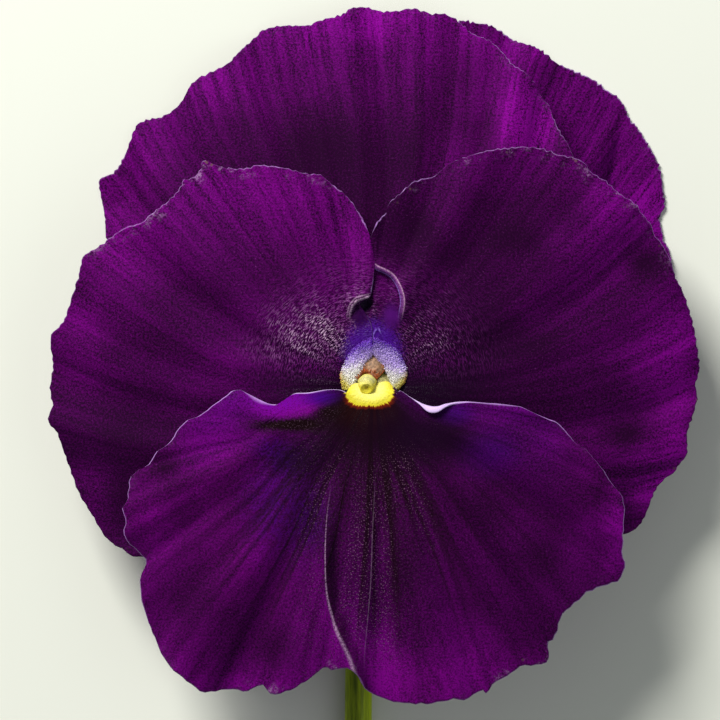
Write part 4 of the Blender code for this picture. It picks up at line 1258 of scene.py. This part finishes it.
def clubs(base, heading, length, radius):
    """Points, quads and triangles of many small clubs: three rings of four points and a tip for each."""
    heading = heading / np.linalg.norm(heading, axis=1, keepdims=True)
    sideways = np.cross(heading, [0.3, 0.9, 0.2])
    sideways /= np.linalg.norm(sideways, axis=1, keepdims=True)
    upright = np.cross(heading, sideways)
    turn = np.arange(4) * math.pi / 2
    ring = np.cos(turn)[:, None] * sideways[:, None] + np.sin(turn)[:, None] * upright[:, None]
    middle = base[:, None] + heading[:, None] * length[:, None, None] * HAIR_RINGS[:, None]
    rings = middle[:, :, None] + ring[:, None] * (radius[:, None] * HAIR_SHAPE)[..., None, None]
    count = len(base)
    tips = base + heading * length[:, None]
    points = np.concatenate([rings.reshape(count, 12, 3), tips[:, None]], axis=1)
    first = (np.arange(count) * HAIR_POINTS)[:, None, None]
    corner, after = np.arange(4), (np.arange(4) + 1) % 4
    walls = np.concatenate([np.stack([corner, after, after + 4, corner + 4], -1) + 4 * k for k in (0, 1)])
    caps = np.stack([corner + 8, after + 8, np.full(4, 12)], -1)
    quads = (np.concatenate([walls, [[3, 2, 1, 0]]]) + first).reshape(-1, 4)
    return points.reshape(-1, 3), quads, (caps + first).reshape(-1, 3)


def mixed(share, first, second):
    """A colour between two, for each of many shares."""
    return np.asarray(first) * (1 - share[:, None]) + np.asarray(second) * share[:, None]


def tinted_finish(name, grain_scale, grain_depth, glow=0, spread=(0.72, 1.12), **sockets):
    """A soft matt surface whose colour the mesh carries, with a fine grain.

    glow is a painted glow: an emission that stands in for the light that a thin, pale tissue
    passes on from behind it.
    """
    made, wire = new_finish(name)
    grain = wire.facts("place").noise(grain_scale, 3, 0.6)
    shade = grain.ramp(0.2, 0.8).blend((spread[0],) * 3, (spread[1],) * 3)
    terms = {0: wire.facts("tint"), 1: shade}
    colour = wire.node("ShaderNodeVectorMath", {"operation": "MULTIPLY"}, terms, out="Vector")
    if glow:
        sockets.update(Emission_Color=colour, Emission_Strength=glow)
    return finished(made, surface(wire, grain, grain_depth, Base_Color=colour, **sockets))


# %% [markdown]
# ## The beards
#
# On each side petal, where it borders the throat, sits a pad of hairs. They are white, blue-violet at
# the top and creamy below, and hold back the bees that would crawl round the stigma. The pad is a
# rounded blade between two drawn lines, and the hairs stand on it at seeded random places.


# %% The beards
BEARDS = {
    "beard_left": {
        "petal": "petal_side_left", "seed": 11, "violet_from": 3, "lavender_from": 1.6, "bright": 1.06,
        "inner": listed("0.06 3.45, -0.72 2.55, -1.2 1.75, -1.7 0.95, -2.1 0.2, -2.4 -0.2"),
        "outer": listed("0 4.6, -1.3 3.85, -2.25 2.8, -2.8 1.6, -2.95 0.8, -2.7 -0.25"),
    },
    "beard_right": {
        "petal": "petal_side_right", "seed": 12, "violet_from": 3.4, "lavender_from": 1, "bright": 0.94,
        "inner": listed("0.14 3.45, 0.95 2.6, 1.55 1.8, 1.95 1.05, 2.2 0.4, 2.3 0"),
        "outer": listed("0.18 4.6, 1.75 3.9, 2.5 3.25, 3 2.3, 3.28 1.5, 3.1 0.5, 2.55 -0.15"),
    },
}
PAD_THICKNESS = 0.7
PAD_LIFT = 0.12
ROOT_DEPTH = 0.12
HAIR_COUNT = 2400
# painted shade: each hair is darker at its root, where the hairs shade each other
HAIR_ROOT_SHADE = [0.66] * 4 + [0.92] * 4 + [1] * 5  # darker at the root
HAIR_VIOLET = (0.11, 0.02, 0.42)
HAIR_LAVENDER = (0.64, 0.44, 1)
HAIR_WHITE = (0.98, 0.95, 0.9)
HAIR_CREAM = (0.7, 0.58, 0.075)
HAIR_ORANGE = (0.6, 0.14, 0.01)


def hair_colour(place, outwards, draw, beard):
    """A hair's colour by its height on the pad and by how far out on the pad it stands."""
    lavender_from, violet_from = beard["lavender_from"], beard["violet_from"]
    loose = draw.normal(0, 0.1, len(place))
    y, out = place[:, 1] + 2 * loose, outwards + loose
    lavender = smoothstep(lavender_from, lavender_from + 2, y + 1.1 * out)
    lavender = lavender * smoothstep(lavender_from - 0.7, lavender_from + 0.6, y)
    colour = mixed(lavender, HAIR_WHITE, HAIR_LAVENDER)
    colour = mixed(smoothstep(violet_from, violet_from + 1.9, y + 1 * out), colour, HAIR_VIOLET)
    colour = mixed(smoothstep(0.72, 0.96, out) * smoothstep(1.4, 2.6, y), colour, HAIR_VIOLET)
    colour = mixed(smoothstep(1.2, -0.1, y - 1.3 * (out - 0.5)), colour, HAIR_CREAM)
    colour = mixed(smoothstep(0.84, 0.98, out) * smoothstep(1.9, 0.9, y) * 0.9, colour, HAIR_ORANGE)
    return colour * beard["bright"] * draw.uniform(0.72, 1.08, len(place))[:, None]


def build_beard(name, beard, finish):
    """The pad, as a rounded blade, and its hairs, which lean inwards and down over the throat.

    A hair stands on the pad's shell, at thickness/2 * sqrt(1 - (1 - t/0.35)^2) from its middle.
    """
    petal = PETALS[beard["petal"]]
    draw = np.random.default_rng(beard["seed"])

    def pad(s, t):
        inner, outer = curve_through(beard["inner"], s), curve_through(beard["outer"], s)
        plan = inner * (1 - t[..., None]) + outer * t[..., None]
        height = arch_height(petal, plan[..., 0], plan[..., 1]) + PAD_LIFT + PAD_THICKNESS / 2
        return np.concatenate([plan, (height - 0.15 * (1 - t) ** 2 - 0.3 * t**2)[..., None]], axis=-1)

    s, t = np.meshgrid(np.linspace(0, 1, 60), np.linspace(0, 1, 24))
    points, quads, _ = blade(pad(s.ravel(), t.ravel()).reshape(24, 60, 3), PAD_THICKNESS, 0.55)
    count = HAIR_COUNT
    s, t = draw.uniform(0, 1, count), draw.uniform(0, 1, count)
    base = pad(s, t)
    from_side = np.minimum(np.minimum(t, 1 - t) / 0.35, 1)
    base[:, 2] += PAD_THICKNESS / 2 * np.sqrt(np.clip(1 - (1 - from_side) ** 2, 0, 1)) - ROOT_DEPTH
    across = pad(s, np.ones(count)) - pad(s, np.zeros(count))
    across /= np.linalg.norm(across, axis=1, keepdims=True)
    heading = across * (t - 0.42)[:, None] * 1.7 + np.array([0, -0.45, 0.38])
    heading = heading + draw.normal(0, 0.2, (count, 3))
    length = draw.uniform(0.26, 0.44, count) * (1 + 0.5 * (1 - t) ** 4)
    hairs = clubs(base, heading, length, draw.uniform(0.03, 0.046, count))
    tint = np.repeat(hair_colour(base, t, draw, beard), HAIR_POINTS, axis=0)
    tint *= np.tile(HAIR_ROOT_SHADE, count)[:, None]
    pad_tint = hair_colour(points, np.full(len(points), 0.5), draw, beard)
    body = joined([(points, quads, np.empty((0, 3), int)), hairs])
    tints = np.vstack([pad_tint, tint])
    new_piece(name + "_hairs", body[0], body[1:], [name], "beard_white", finish, tint=tints)


# the hairs' glow is a painted glow
hair_finish = tinted_finish(
    "beard_hairs", 5, 0.01, glow=0.06, Roughness=0.55, Specular_IOR_Level=0.25, Subsurface_Weight=0.5,
    Subsurface_Radius=(1, 0.9, 1), Subsurface_Scale=0.0004,
)
for beard_name, beard in BEARDS.items():
    build_beard(beard_name, beard, hair_finish)

# %% [markdown]
# ## The pistil
#
# A round ovary, a thin bent style, and on it the stigma: a hollow head with a small round mouth in its
# lower side, where pollen is wiped off a visiting bee. The head is a ball with a paler cap, and the
# mouth a short collar turned from a profile that goes up its outside, over its lip and down inside.

# %% The pistil
STYLE_PATH = listed("""
    0 0.05 8.9, 0 0.15 10.2, 0 0.3 11.6, -0.05 0.45 12.6, -0.15 0.5 13.4, -0.32 0.45 14.1,
    -0.44 0.36 14.7, -0.5 0.3 15.1""")
STYLE_RADII = [0.45, 0.75, 0.45, 0.28, 0.28, 0.3, 0.36, 0.45]
HEAD_MIDDLE, HEAD_RADIUS = np.array([-0.48, 0.44, 15.42]), 0.81
MOUTH_MIDDLE = np.array([-0.56, -0.33, 16.2])
MOUTH_AXIS = np.array([-0.04, -0.5, 0.87])
MOUTH_PROFILE = listed("""
    0.4 -1, 0.84 -0.8, 0.78 -0.4, 0.71 -0.1, 0.64 0.06, 0.54 0.1, 0.43 0.06, 0.32 0, 0.21 -0.07,
    0.12 -0.16, 0.04 -0.18""")
STIGMA_YELLOW = (0.66, 0.56, 0.03)
STIGMA_PALE = (0.52, 0.49, 0.175)
STIGMA_HOLLOW_SHADE = (0.5, 0.39, 0.02)
OVARY_GREEN = (0.4, 0.5, 0.12)


def in_mouth(points, axis):
    """1 in the stigma's hollow, near its axis and below its lip."""
    from_middle = points - MOUTH_MIDDLE
    height = from_middle @ axis
    out = np.linalg.norm(from_middle - height[:, None] * axis, axis=1)
    return smoothstep(0.27, 0.12, out) * smoothstep(0.05, -0.1, height) * (height > -0.3)


def build_pistil(finish):
    """Style, head and mouth: one piece of three closed bodies. The head narrows upwards by 1 - 0.45 t."""
    style = tube(loft(STYLE_PATH, 6), loft(STYLE_RADII, 6), 24)
    turn = np.linspace(0.04, math.pi - 0.04, 22)
    axis = np.array([0, -0.25, 1]) / math.hypot(0.25, 1)
    squash = 1 + 0.18 * np.cos(np.arange(36) * 4 * math.pi / 36)
    balls = HEAD_MIDDLE - axis * (np.cos(turn) * HEAD_RADIUS * 0.86)[:, None]
    head = tube(balls, np.sin(turn)[:, None] * HEAD_RADIUS * squash, 36, axis)
    beyond = np.clip((head[0][:, 1] - HEAD_MIDDLE[1]) / HEAD_RADIUS, 0, 1)
    head[0][:, 0] += (HEAD_MIDDLE[0] - head[0][:, 0]) * 0.45 * beyond
    mouth_axis = MOUTH_AXIS / np.linalg.norm(MOUTH_AXIS)
    profile = loft(MOUTH_PROFILE, 4)
    mouth = tube(MOUTH_MIDDLE + mouth_axis * profile[:, 1:], profile[:, :1], 28, mouth_axis)
    points, *faces = joined([style, head, mouth])
    tint = mixed(smoothstep(11, 14, points[:, 2]), OVARY_GREEN, STIGMA_YELLOW)
    pale = smoothstep(15.1, 16, points[:, 2]) * smoothstep(-0.4, 0.6, points[:, 1])
    tint = mixed(pale, tint, STIGMA_PALE)
    # painted shade in the stigma's hollow
    tint = mixed(in_mouth(points, mouth_axis), tint, STIGMA_HOLLOW_SHADE)
    new_piece("pistil_stigma", points, faces, ["pistil"], "stigma_yellow", finish, tint=tint)


# the stigma's glow is a painted glow
build_pistil(tinted_finish(
    "stigma_skin", 4, 0.03, glow=0.04, Roughness=0.52, Specular_IOR_Level=0.22, Subsurface_Weight=0.3,
    Subsurface_Radius=(1, 0.9, 0.3), Subsurface_Scale=0.0005,
))

# %% [markdown]
# ## The stamens
#
# Five anthers stand close round the ovary. Each ends in a dry, tan scale with an orange edge, and the
# five scales lean together in a cone round the style. In the flower, the two lower stamens also have a
# thin green nectary that reaches back into the spur, out of sight; it is not built here.

# %% The stamens
STAMENS = {
    # angle, where the scale starts (out, height), where it ends, its width
    "stamen_top": (84, (3.5, 14.2), (0.55, 15), 1.45),
    "stamen_side_left": (154, (2.3, 12.5), (0.6, 14.5), 1.05),
    "stamen_side_right": (24, (2.6, 13.2), (0.55, 14.6), 1.25),
    "stamen_lower_left": (234, (1.75, 12.5), (1, 12.9), 0.62),
    "stamen_lower_right": (306, (1.75, 12.5), (1, 12.9), 0.62),
}
SCALE_TAN = (0.3, 0.175, 0.1)
SCALE_BROWN = (0.17, 0.075, 0.025)
SCALE_ORANGE = (0.42, 0.07, 0.012)
SCALE_OLIVE = (0.22, 0.18, 0.01)
SCALE_GREEN = (0.46, 0.42, 0.17)
ANTHER_CREAM = (0.62, 0.5, 0.22)
SCALE_FRINGE = (0.33, 0.07, 0.012)
FRINGES = {"stamen_top": (10, 125, 80), "stamen_side_left": (115, 175, 34)}
ANTHER_FOOT, ANTHER_LENGTH = 8.9, 3.6


def compass(degrees):
    """Unit vectors outwards, sideways and upwards for a piece that stands at this angle round the axis."""
    cosine, sine = math.cos(math.radians(degrees)), math.sin(math.radians(degrees))
    return np.array([[cosine, sine, 0], [-sine, cosine, 0], [0, 0, 1]])


def frayed_tip(first, last, count):
    """Short hairs that stand on a scale's tip, round the stigma's head, from one angle to another."""
    draw = np.random.default_rng(count)
    turn = np.radians(draw.uniform(first, last, count))
    outwards = np.stack([np.cos(turn), np.sin(turn), 0.25 + 0 * turn], axis=-1)
    base = HEAD_MIDDLE + outwards * draw.uniform(0.72, 0.98, count)[:, None]
    base[:, 2] = draw.uniform(15.15, 15.5, count)
    heading = outwards + draw.normal(0, 0.55, (count, 3))
    return clubs(base, heading, draw.uniform(0.18, 0.48, count), draw.uniform(0.018, 0.03, count))


def anther_tube(outwards, upwards):
    """The anther: a tube with four lobes that swells as 0.16 + 0.40 sqrt(sine)."""
    steps = np.linspace(0, 1, 9)
    height = ANTHER_FOOT + ANTHER_LENGTH * steps[:, None]
    path = outwards * (1.45 + 0.1 * steps[:, None]) + upwards * height
    swell = 0.16 + 0.4 * np.sin(math.pi * np.clip(steps * 0.92 + 0.06, 0, 1)) ** 0.5
    lobes = 0.5 + 0.5 * np.abs(np.cos(np.arange(20) * 2 * math.pi / 20))
    return tube(path, swell[:, None] * lobes, 20)


def scale_tint(name, angle, points, edge, far):
    """A scale's colour: tan with brown blotches and an orange rim. The right one is olive and green."""
    frayed = np.random.default_rng(int(angle)).normal(0, 0.1, len(points))
    if name == "stamen_side_right":
        return mixed(smoothstep(1.25, 0.55, points[:, 1] + frayed), SCALE_OLIVE, SCALE_GREEN)
    rim = np.maximum(smoothstep(0.66, 0.95, edge + frayed), smoothstep(0.7, 0.95, far + frayed))
    blotched = smoothstep(0.15, 0.75, edge + 2 * frayed)
    return mixed(rim, mixed(blotched * 0.8, SCALE_TAN, SCALE_BROWN), SCALE_ORANGE)


def build_stamen(name, angle, foot, tip, width, finish):
    """An anther, as a flattened tube, and the scale on it: a pointed blade, arched across."""
    outwards, sideways, upwards = compass(angle)
    along, across = np.linspace(0, 1, 20), np.linspace(-1, 1, 21)
    reach = foot[0] + (tip[0] - foot[0]) * along
    height = foot[1] + (tip[1] - foot[1]) * np.sin(along * math.pi / 2)
    half = width * np.sqrt(np.clip(1 - along**2.2, 0, 1)) * (0.75 + 0.25 * np.sin(math.pi * along)) + 0.04
    arch = 0.3 * width * (1 - across**2)
    grid = outwards * reach[:, None, None] + sideways * (half[:, None] * across)[..., None]
    points, quads, _ = blade(grid + upwards * (height[:, None] + arch)[..., None], 0.12, 0.08)
    edge = both_skins(np.abs(across) + 0 * along[:, None])
    far = both_skins(0 * across + along[:, None])
    bodies = [(points, quads, np.empty((0, 3), int)), anther_tube(outwards, upwards)]
    tints = [scale_tint(name, angle, points, edge, far), np.tile(ANTHER_CREAM, (len(bodies[1][0]), 1))]
    if name in FRINGES:
        bodies.append(frayed_tip(*FRINGES[name]))
        tints.append(np.tile(SCALE_FRINGE, (len(bodies[-1][0]), 1)))
    points, *faces = joined(bodies)
    new_piece(name + "_scale", points, faces, [name], "stamen_brown", finish, tint=np.vstack(tints))


stamen_finish = tinted_finish(
    "stamen_scale", 3.6, 0.06, spread=(0.3, 1.5), Roughness=0.6, Specular_IOR_Level=0.3
)
for stamen_name, facts in STAMENS.items():
    build_stamen(stamen_name, *facts, stamen_finish)

# %% [markdown]
# ## The sepals
#
# Five green, lance-shaped sepals lie under the petals. Each is fixed part way along, so that behind the
# flower it runs on as a short blunt ear with a toothed end. They are blades like the petals, with a
# mid-vein raised on the underside.

# %% The sepals
SEPALS = {
    # angle, length, width, height of the tip
    "sepal_top": (90, 12.5, 4.8, 6.4),
    "sepal_upper_left": (166, 13.5, 4.4, 8.6),
    "sepal_upper_right": (14, 13, 4.4, 6.2),
    "sepal_lower_left": (219, 12, 4.2, 10.6),
    "sepal_lower_right": (321, 12.4, 4.2, 10.8),
}
SEPAL_RING = 3.2
SEAT = 0.3
SEPAL_GREEN = (0.115, 0.23, 0.03)
SEPAL_DEEP = (0.05, 0.12, 0.014)
SEPAL_EDGE = (0.3, 0.42, 0.12)


def build_sepal(name, angle, length, width, tip_height, finish):
    """A sepal along a profile (out, height), with its width from an ear and a lance-shaped blade."""
    profile = [
        (SEPAL_RING + 1.2, 4.2), (SEPAL_RING + 0.5, 5.6), (SEPAL_RING, 7.4), (SEPAL_RING + 0.5, 8.3),
        (SEPAL_RING + 2.6, 8.7), (length * 0.62, (8.7 + tip_height) / 2 + 0.5), (length, tip_height),
    ]
    shares, across = np.linspace(0, 1, 90), np.linspace(-1, 1, 31)
    middle = curve_through(profile, shares)
    ear = 0.34 + 0.12 * np.sin(math.pi * shares / SEAT)
    lance = 0.4 + 0.6 * np.sin(math.pi * np.clip((shares - SEAT) / (1 - SEAT), 0, 1) ** 0.8)
    taper = 1 - smoothstep(0.66, 1, shares) * 0.93
    half = width / 2 * np.where(shares < SEAT, ear, lance) * taper
    outwards, sideways, upwards = compass(angle)
    cup = 0.22 * half * smoothstep(SEAT, 0.6, shares)
    ear_teeth = 0.35 * np.abs(np.sin(across * 5)) * (1 - smoothstep(0, 0.1, shares))[:, None]
    height = middle[:, 1:] + cup[:, None] * across**2 - 0.1 * bell(across, 0.1) - ear_teeth
    grid = middle[:, None, :1] * outwards + (half[:, None] * across)[..., None] * sideways
    points, quads, face = blade(grid + height[..., None] * upwards, 0.36, 0.25)
    ribs, steps = both_skins(across + 0 * shares[:, None]), both_skins(0 * across + shares[:, None])
    veins = np.stack([ribs, steps, face], axis=-1)
    new_piece(name + "_leaf", points, [quads], [name], "sepal_green", finish, veins=veins)


def sepal_finish():
    """Green with a paler mid-vein, fine veins that leave it at a slant, and a thin pale edge."""
    made, wire = new_finish("sepal_leaf")
    across, along, _ = wire.facts("veins").parts()
    off = across.absolute()
    net = ((along * 26 - off * 2.2) * 6.28).sine() * 0.5 + 0.5
    mottle = wire.facts("place").noise(1.2, 3, 0.6)
    colour = (mottle * 0.7 + net * 0.25).blend(SEPAL_DEEP, SEPAL_GREEN)
    colour = off.fall(0.03, 0.14, 0.8).blend(colour, SEPAL_EDGE)
    colour = off.ramp(0.86, 0.98, 0, 0.7).blend(colour, SEPAL_EDGE)
    bump = net * 0.5 + mottle * 0.5
    shown = surface(wire, bump, 0.06, Base_Color=colour, Roughness=0.5, Specular_IOR_Level=0.4)
    return finished(made, shown)


leaf_finish = sepal_finish()
for sepal_name, facts in SEPALS.items():
    build_sepal(sepal_name, *facts, leaf_finish)

# %% [markdown]
# ## The spur
#
# The lower petal's nectar spur is a blunt pouch that hangs behind the flower, inside the stem's bend.
# It is a tube of the petal's own tissue, paler than the blade, with its veins running on.

# %% The spur
SPUR_PATH = listed("""
    0 -2.75 10.9, 0 -3.2 10.2, 0 -3.9 9, 0 -4.35 7.6, 0 -4.5 6.2, 0 -4.45 5, 0 -4.35 4.2, 0 -4.3 3.85""")
SPUR_RADII = [0.5, 1, 1.2, 1.3, 1.3, 1.15, 0.75, 0.2]
SPUR_LILAC = (0.34, 0.16, 0.42)
SPUR_VEIN = (0.13, 0.025, 0.2)


def build_spur():
    """A tube along the spur's path. Its finish is violet with darker lines along it."""
    made, wire = new_finish("spur_skin")
    lines = wire.facts("rings").stretched((3, 0.25, 0)).noise(1.2, 3, 0.6)
    colour = lines.ramp(0.35, 0.65).blend(SPUR_LILAC, SPUR_VEIN)
    shown = surface(wire, lines, 0.08, Base_Color=colour, Roughness=0.5, Specular_IOR_Level=0.3)
    points, *faces = tube(loft(SPUR_PATH, 6), loft(SPUR_RADII, 6), 32)
    turn = np.arctan2(points[:, 0], points[:, 1] + 4)
    rings = np.stack([np.abs(turn) * 2, points[:, 2], 0 * turn], axis=-1)
    skin = finished(made, shown)
    new_piece("spur_pouch", points, faces, ["petal_lower"], "petal_purple", skin, rings=rings)


build_spur()

# %% [markdown]
# ## The stem
#
# The stalk hooks over behind the flower, as a pansy's does, and then runs along the surface to its cut
# end. It has blunt ridges along it and two small pointed bracts. At its top it widens into the
# receptacle, which carries everything else.

# %% The stem
STEM_RADIUS = 1.38
STEM_HEIGHT = 1.46
RECEPTACLE_HEIGHTS = [8.5, 8.2, 7.6, 6.9, 6.4]
RECEPTACLE_RADII = [2.45, 2.6, 2.5, 1.85, 1.55]
HOOK_RADIUS = 4.6
HOOK_MIDDLE = (-4.6, 6)
STEM_RUN = listed("0 -4.6, -0.7 -14, -1.4 -30, -1.2 -48, 0.2 -66, 2.2 -80")
STEM_RIDGES = 5
STEM_SIDES = 60
BRACT_RADII = [0.45, 0.75, 0.65, 0.36, 0.05]
STEM_SHADE = (0.048, 0.08, 0.002)
STEM_GREEN = (0.33, 0.44, 0.004)
CUT_PALE = (0.5, 0.58, 0.28)


def stem_path():
    """Points down the receptacle, round the hook's quarter circle and along the surface."""
    bend = np.linspace(0, math.pi / 2, 14)[1:]
    hook_y = HOOK_MIDDLE[0] + HOOK_RADIUS * np.cos(bend)
    hook_z = HOOK_MIDDLE[1] - HOOK_RADIUS * np.sin(bend)
    plan = curve_through(STEM_RUN, np.linspace(0, 1, 90)[1:])
    run = np.column_stack([plan, np.full(len(plan), STEM_HEIGHT)])
    receptacle = [(0, 0, z) for z in RECEPTACLE_HEIGHTS]
    return np.vstack([receptacle, np.column_stack([0 * bend, hook_y, hook_z]), run])


def bract(side, y):
    """A short flattened tube that stands off one side of the stem and points along it."""
    x = -0.75
    line = [
        (x + side * 1, y + 0.6, 1.7), (x + side * 1.6, y - 0.4, 2.1), (x + side * 2.2, y - 1.6, 2.2),
        (x + side * 2.5, y - 2.8, 2.1), (x + side * 2.6, y - 3.9, 1.9),
    ]
    return tube(loft(line, 5), loft(BRACT_RADII, 5), 16, flat=0.35)


def build_stem(finish):
    """The ridged stalk and its two bracts, with each point's place round the stalk for the finish."""
    path = stem_path()
    radii = np.full(len(path), STEM_RADIUS)
    radii[:5] = RECEPTACLE_RADII
    turn = np.arange(STEM_SIDES) * 2 * math.pi / STEM_SIDES
    ridges = 1 + 0.05 * np.cos(STEM_RIDGES * turn)[None, :] * smoothstep(7.4, 6.2, path[:, 2:])
    stalk = tube(path, radii[:, None] * ridges, STEM_SIDES)
    points, *faces = joined([stalk, bract(-1, -15), bract(1, -17.5)])
    around, side, cut = np.zeros((3, len(points)))
    around[: len(path) * STEM_SIDES] = np.tile(np.cos(STEM_RIDGES * turn), len(path))
    side[: len(path) * STEM_SIDES] = np.tile(np.cos(turn), len(path))
    cut[len(stalk[0]) - 1] = 1
    facts = {"around": around, "side": side, "cut": cut}
    new_piece("stem_stalk", points, faces, ["stem"], "stem_green", finish, **facts)


def stem_finish():
    """Green, paler on the ridges, with fine streaks along it and a pale wet-looking cut end."""
    made, wire = new_finish("stem_skin")
    streaks = wire.facts("place").stretched((1, 0.08, 1)).noise(3, 3, 0.6)
    green = streaks.ramp(0.3, 0.7) * 0.5 + wire.fact("around").ramp(-1, 1, 0, 0.3)
    side = wire.fact("side")
    rims = side.ramp(0.2, 1, 0, 0.75) + side.fall(-1, -0.5, 0.25)
    colour = wire.fact("cut").ramp(0.05, 0.4).blend((green + rims).blend(STEM_SHADE, STEM_GREEN), CUT_PALE)
    shown = surface(wire, streaks, 0.06, Base_Color=colour, Roughness=0.42, Specular_IOR_Level=0.2)
    return finished(made, shown)


build_stem(stem_finish())

# %% [markdown]
# ## Floor, light and camera
#
# The flower lies on a pale plain floor. The light is soft and comes mostly from the upper left, as it
# does in the photograph, so the left petals glow and the right ones stay deep. The camera looks
# straight down on the bloom through a long lens, and the stem leaves the picture below.

# %% Floor, light and camera
FACE_HEIGHT = 16
CAMERA_DISTANCE = 600
FRAME_WIDTH = 72
LOOK_AT = (-1.2, 2.5)
HALF_FLOOR = 1.5
FLOOR_GREY = (0.62, 0.64, 0.57)
ROOM_GREY = (0.8, 0.84, 0.86, 1)


def placed(name, data, place):
    """An object with this data, at a place in millimetres from the flower's axis."""
    made = bpy.data.objects.new(name, data)
    made.location = np.array(place) * MM + AXIS
    bpy.context.collection.objects.link(made)
    return made


def add_light(name, place, size, power, colour):
    """A square soft light, turned to the bloom."""
    lamp = bpy.data.lights.new(name, "AREA")
    lamp.size, lamp.energy, lamp.color = size, power, colour
    made = placed(name, lamp, place)
    way = Vector(AXIS + np.array([0, 0, FACE_HEIGHT * MM])) - made.location
    made.rotation_euler = way.to_track_quat("-Z", "Y").to_euler()


floor_mesh = bpy.data.meshes.new("floor")
floor_corners = HALF_FLOOR * np.array([(-1, -1, 0), (1, -1, 0), (1, 1, 0), (-1, 1, 0)])
floor_mesh.from_pydata(floor_corners.tolist(), [], [(0, 1, 2, 3)])
floor = bpy.data.objects.new("floor", floor_mesh)
bpy.context.collection.objects.link(floor)
floor_made, floor_wire = new_finish("pale_floor")
floor_mesh.materials.append(finished(floor_made, surface(floor_wire, Base_Color=FLOOR_GREY, Roughness=0.8)))

add_light("window_light", (-260, 430, 430), 0.26, 7.5, (1, 0.98, 0.95))
add_light("fill_light", (450, -200, 500), 0.6, 0.8, (0.92, 0.95, 1))
world = bpy.data.worlds.new("room")
world.use_nodes = True
background = world.node_tree.nodes["Background"].inputs
background["Color"].default_value, background["Strength"].default_value = ROOM_GREY, 0.3
bpy.context.scene.world = world
bpy.context.scene.view_settings.view_transform = "Standard"

lens = bpy.data.cameras.new("camera")
lens.sensor_width = 36
lens.lens = lens.sensor_width * CAMERA_DISTANCE / FRAME_WIDTH
lens.clip_start, lens.clip_end = 0.05, 10
bpy.context.scene.camera = placed("camera", lens, (*LOOK_AT, FACE_HEIGHT + CAMERA_DISTANCE))
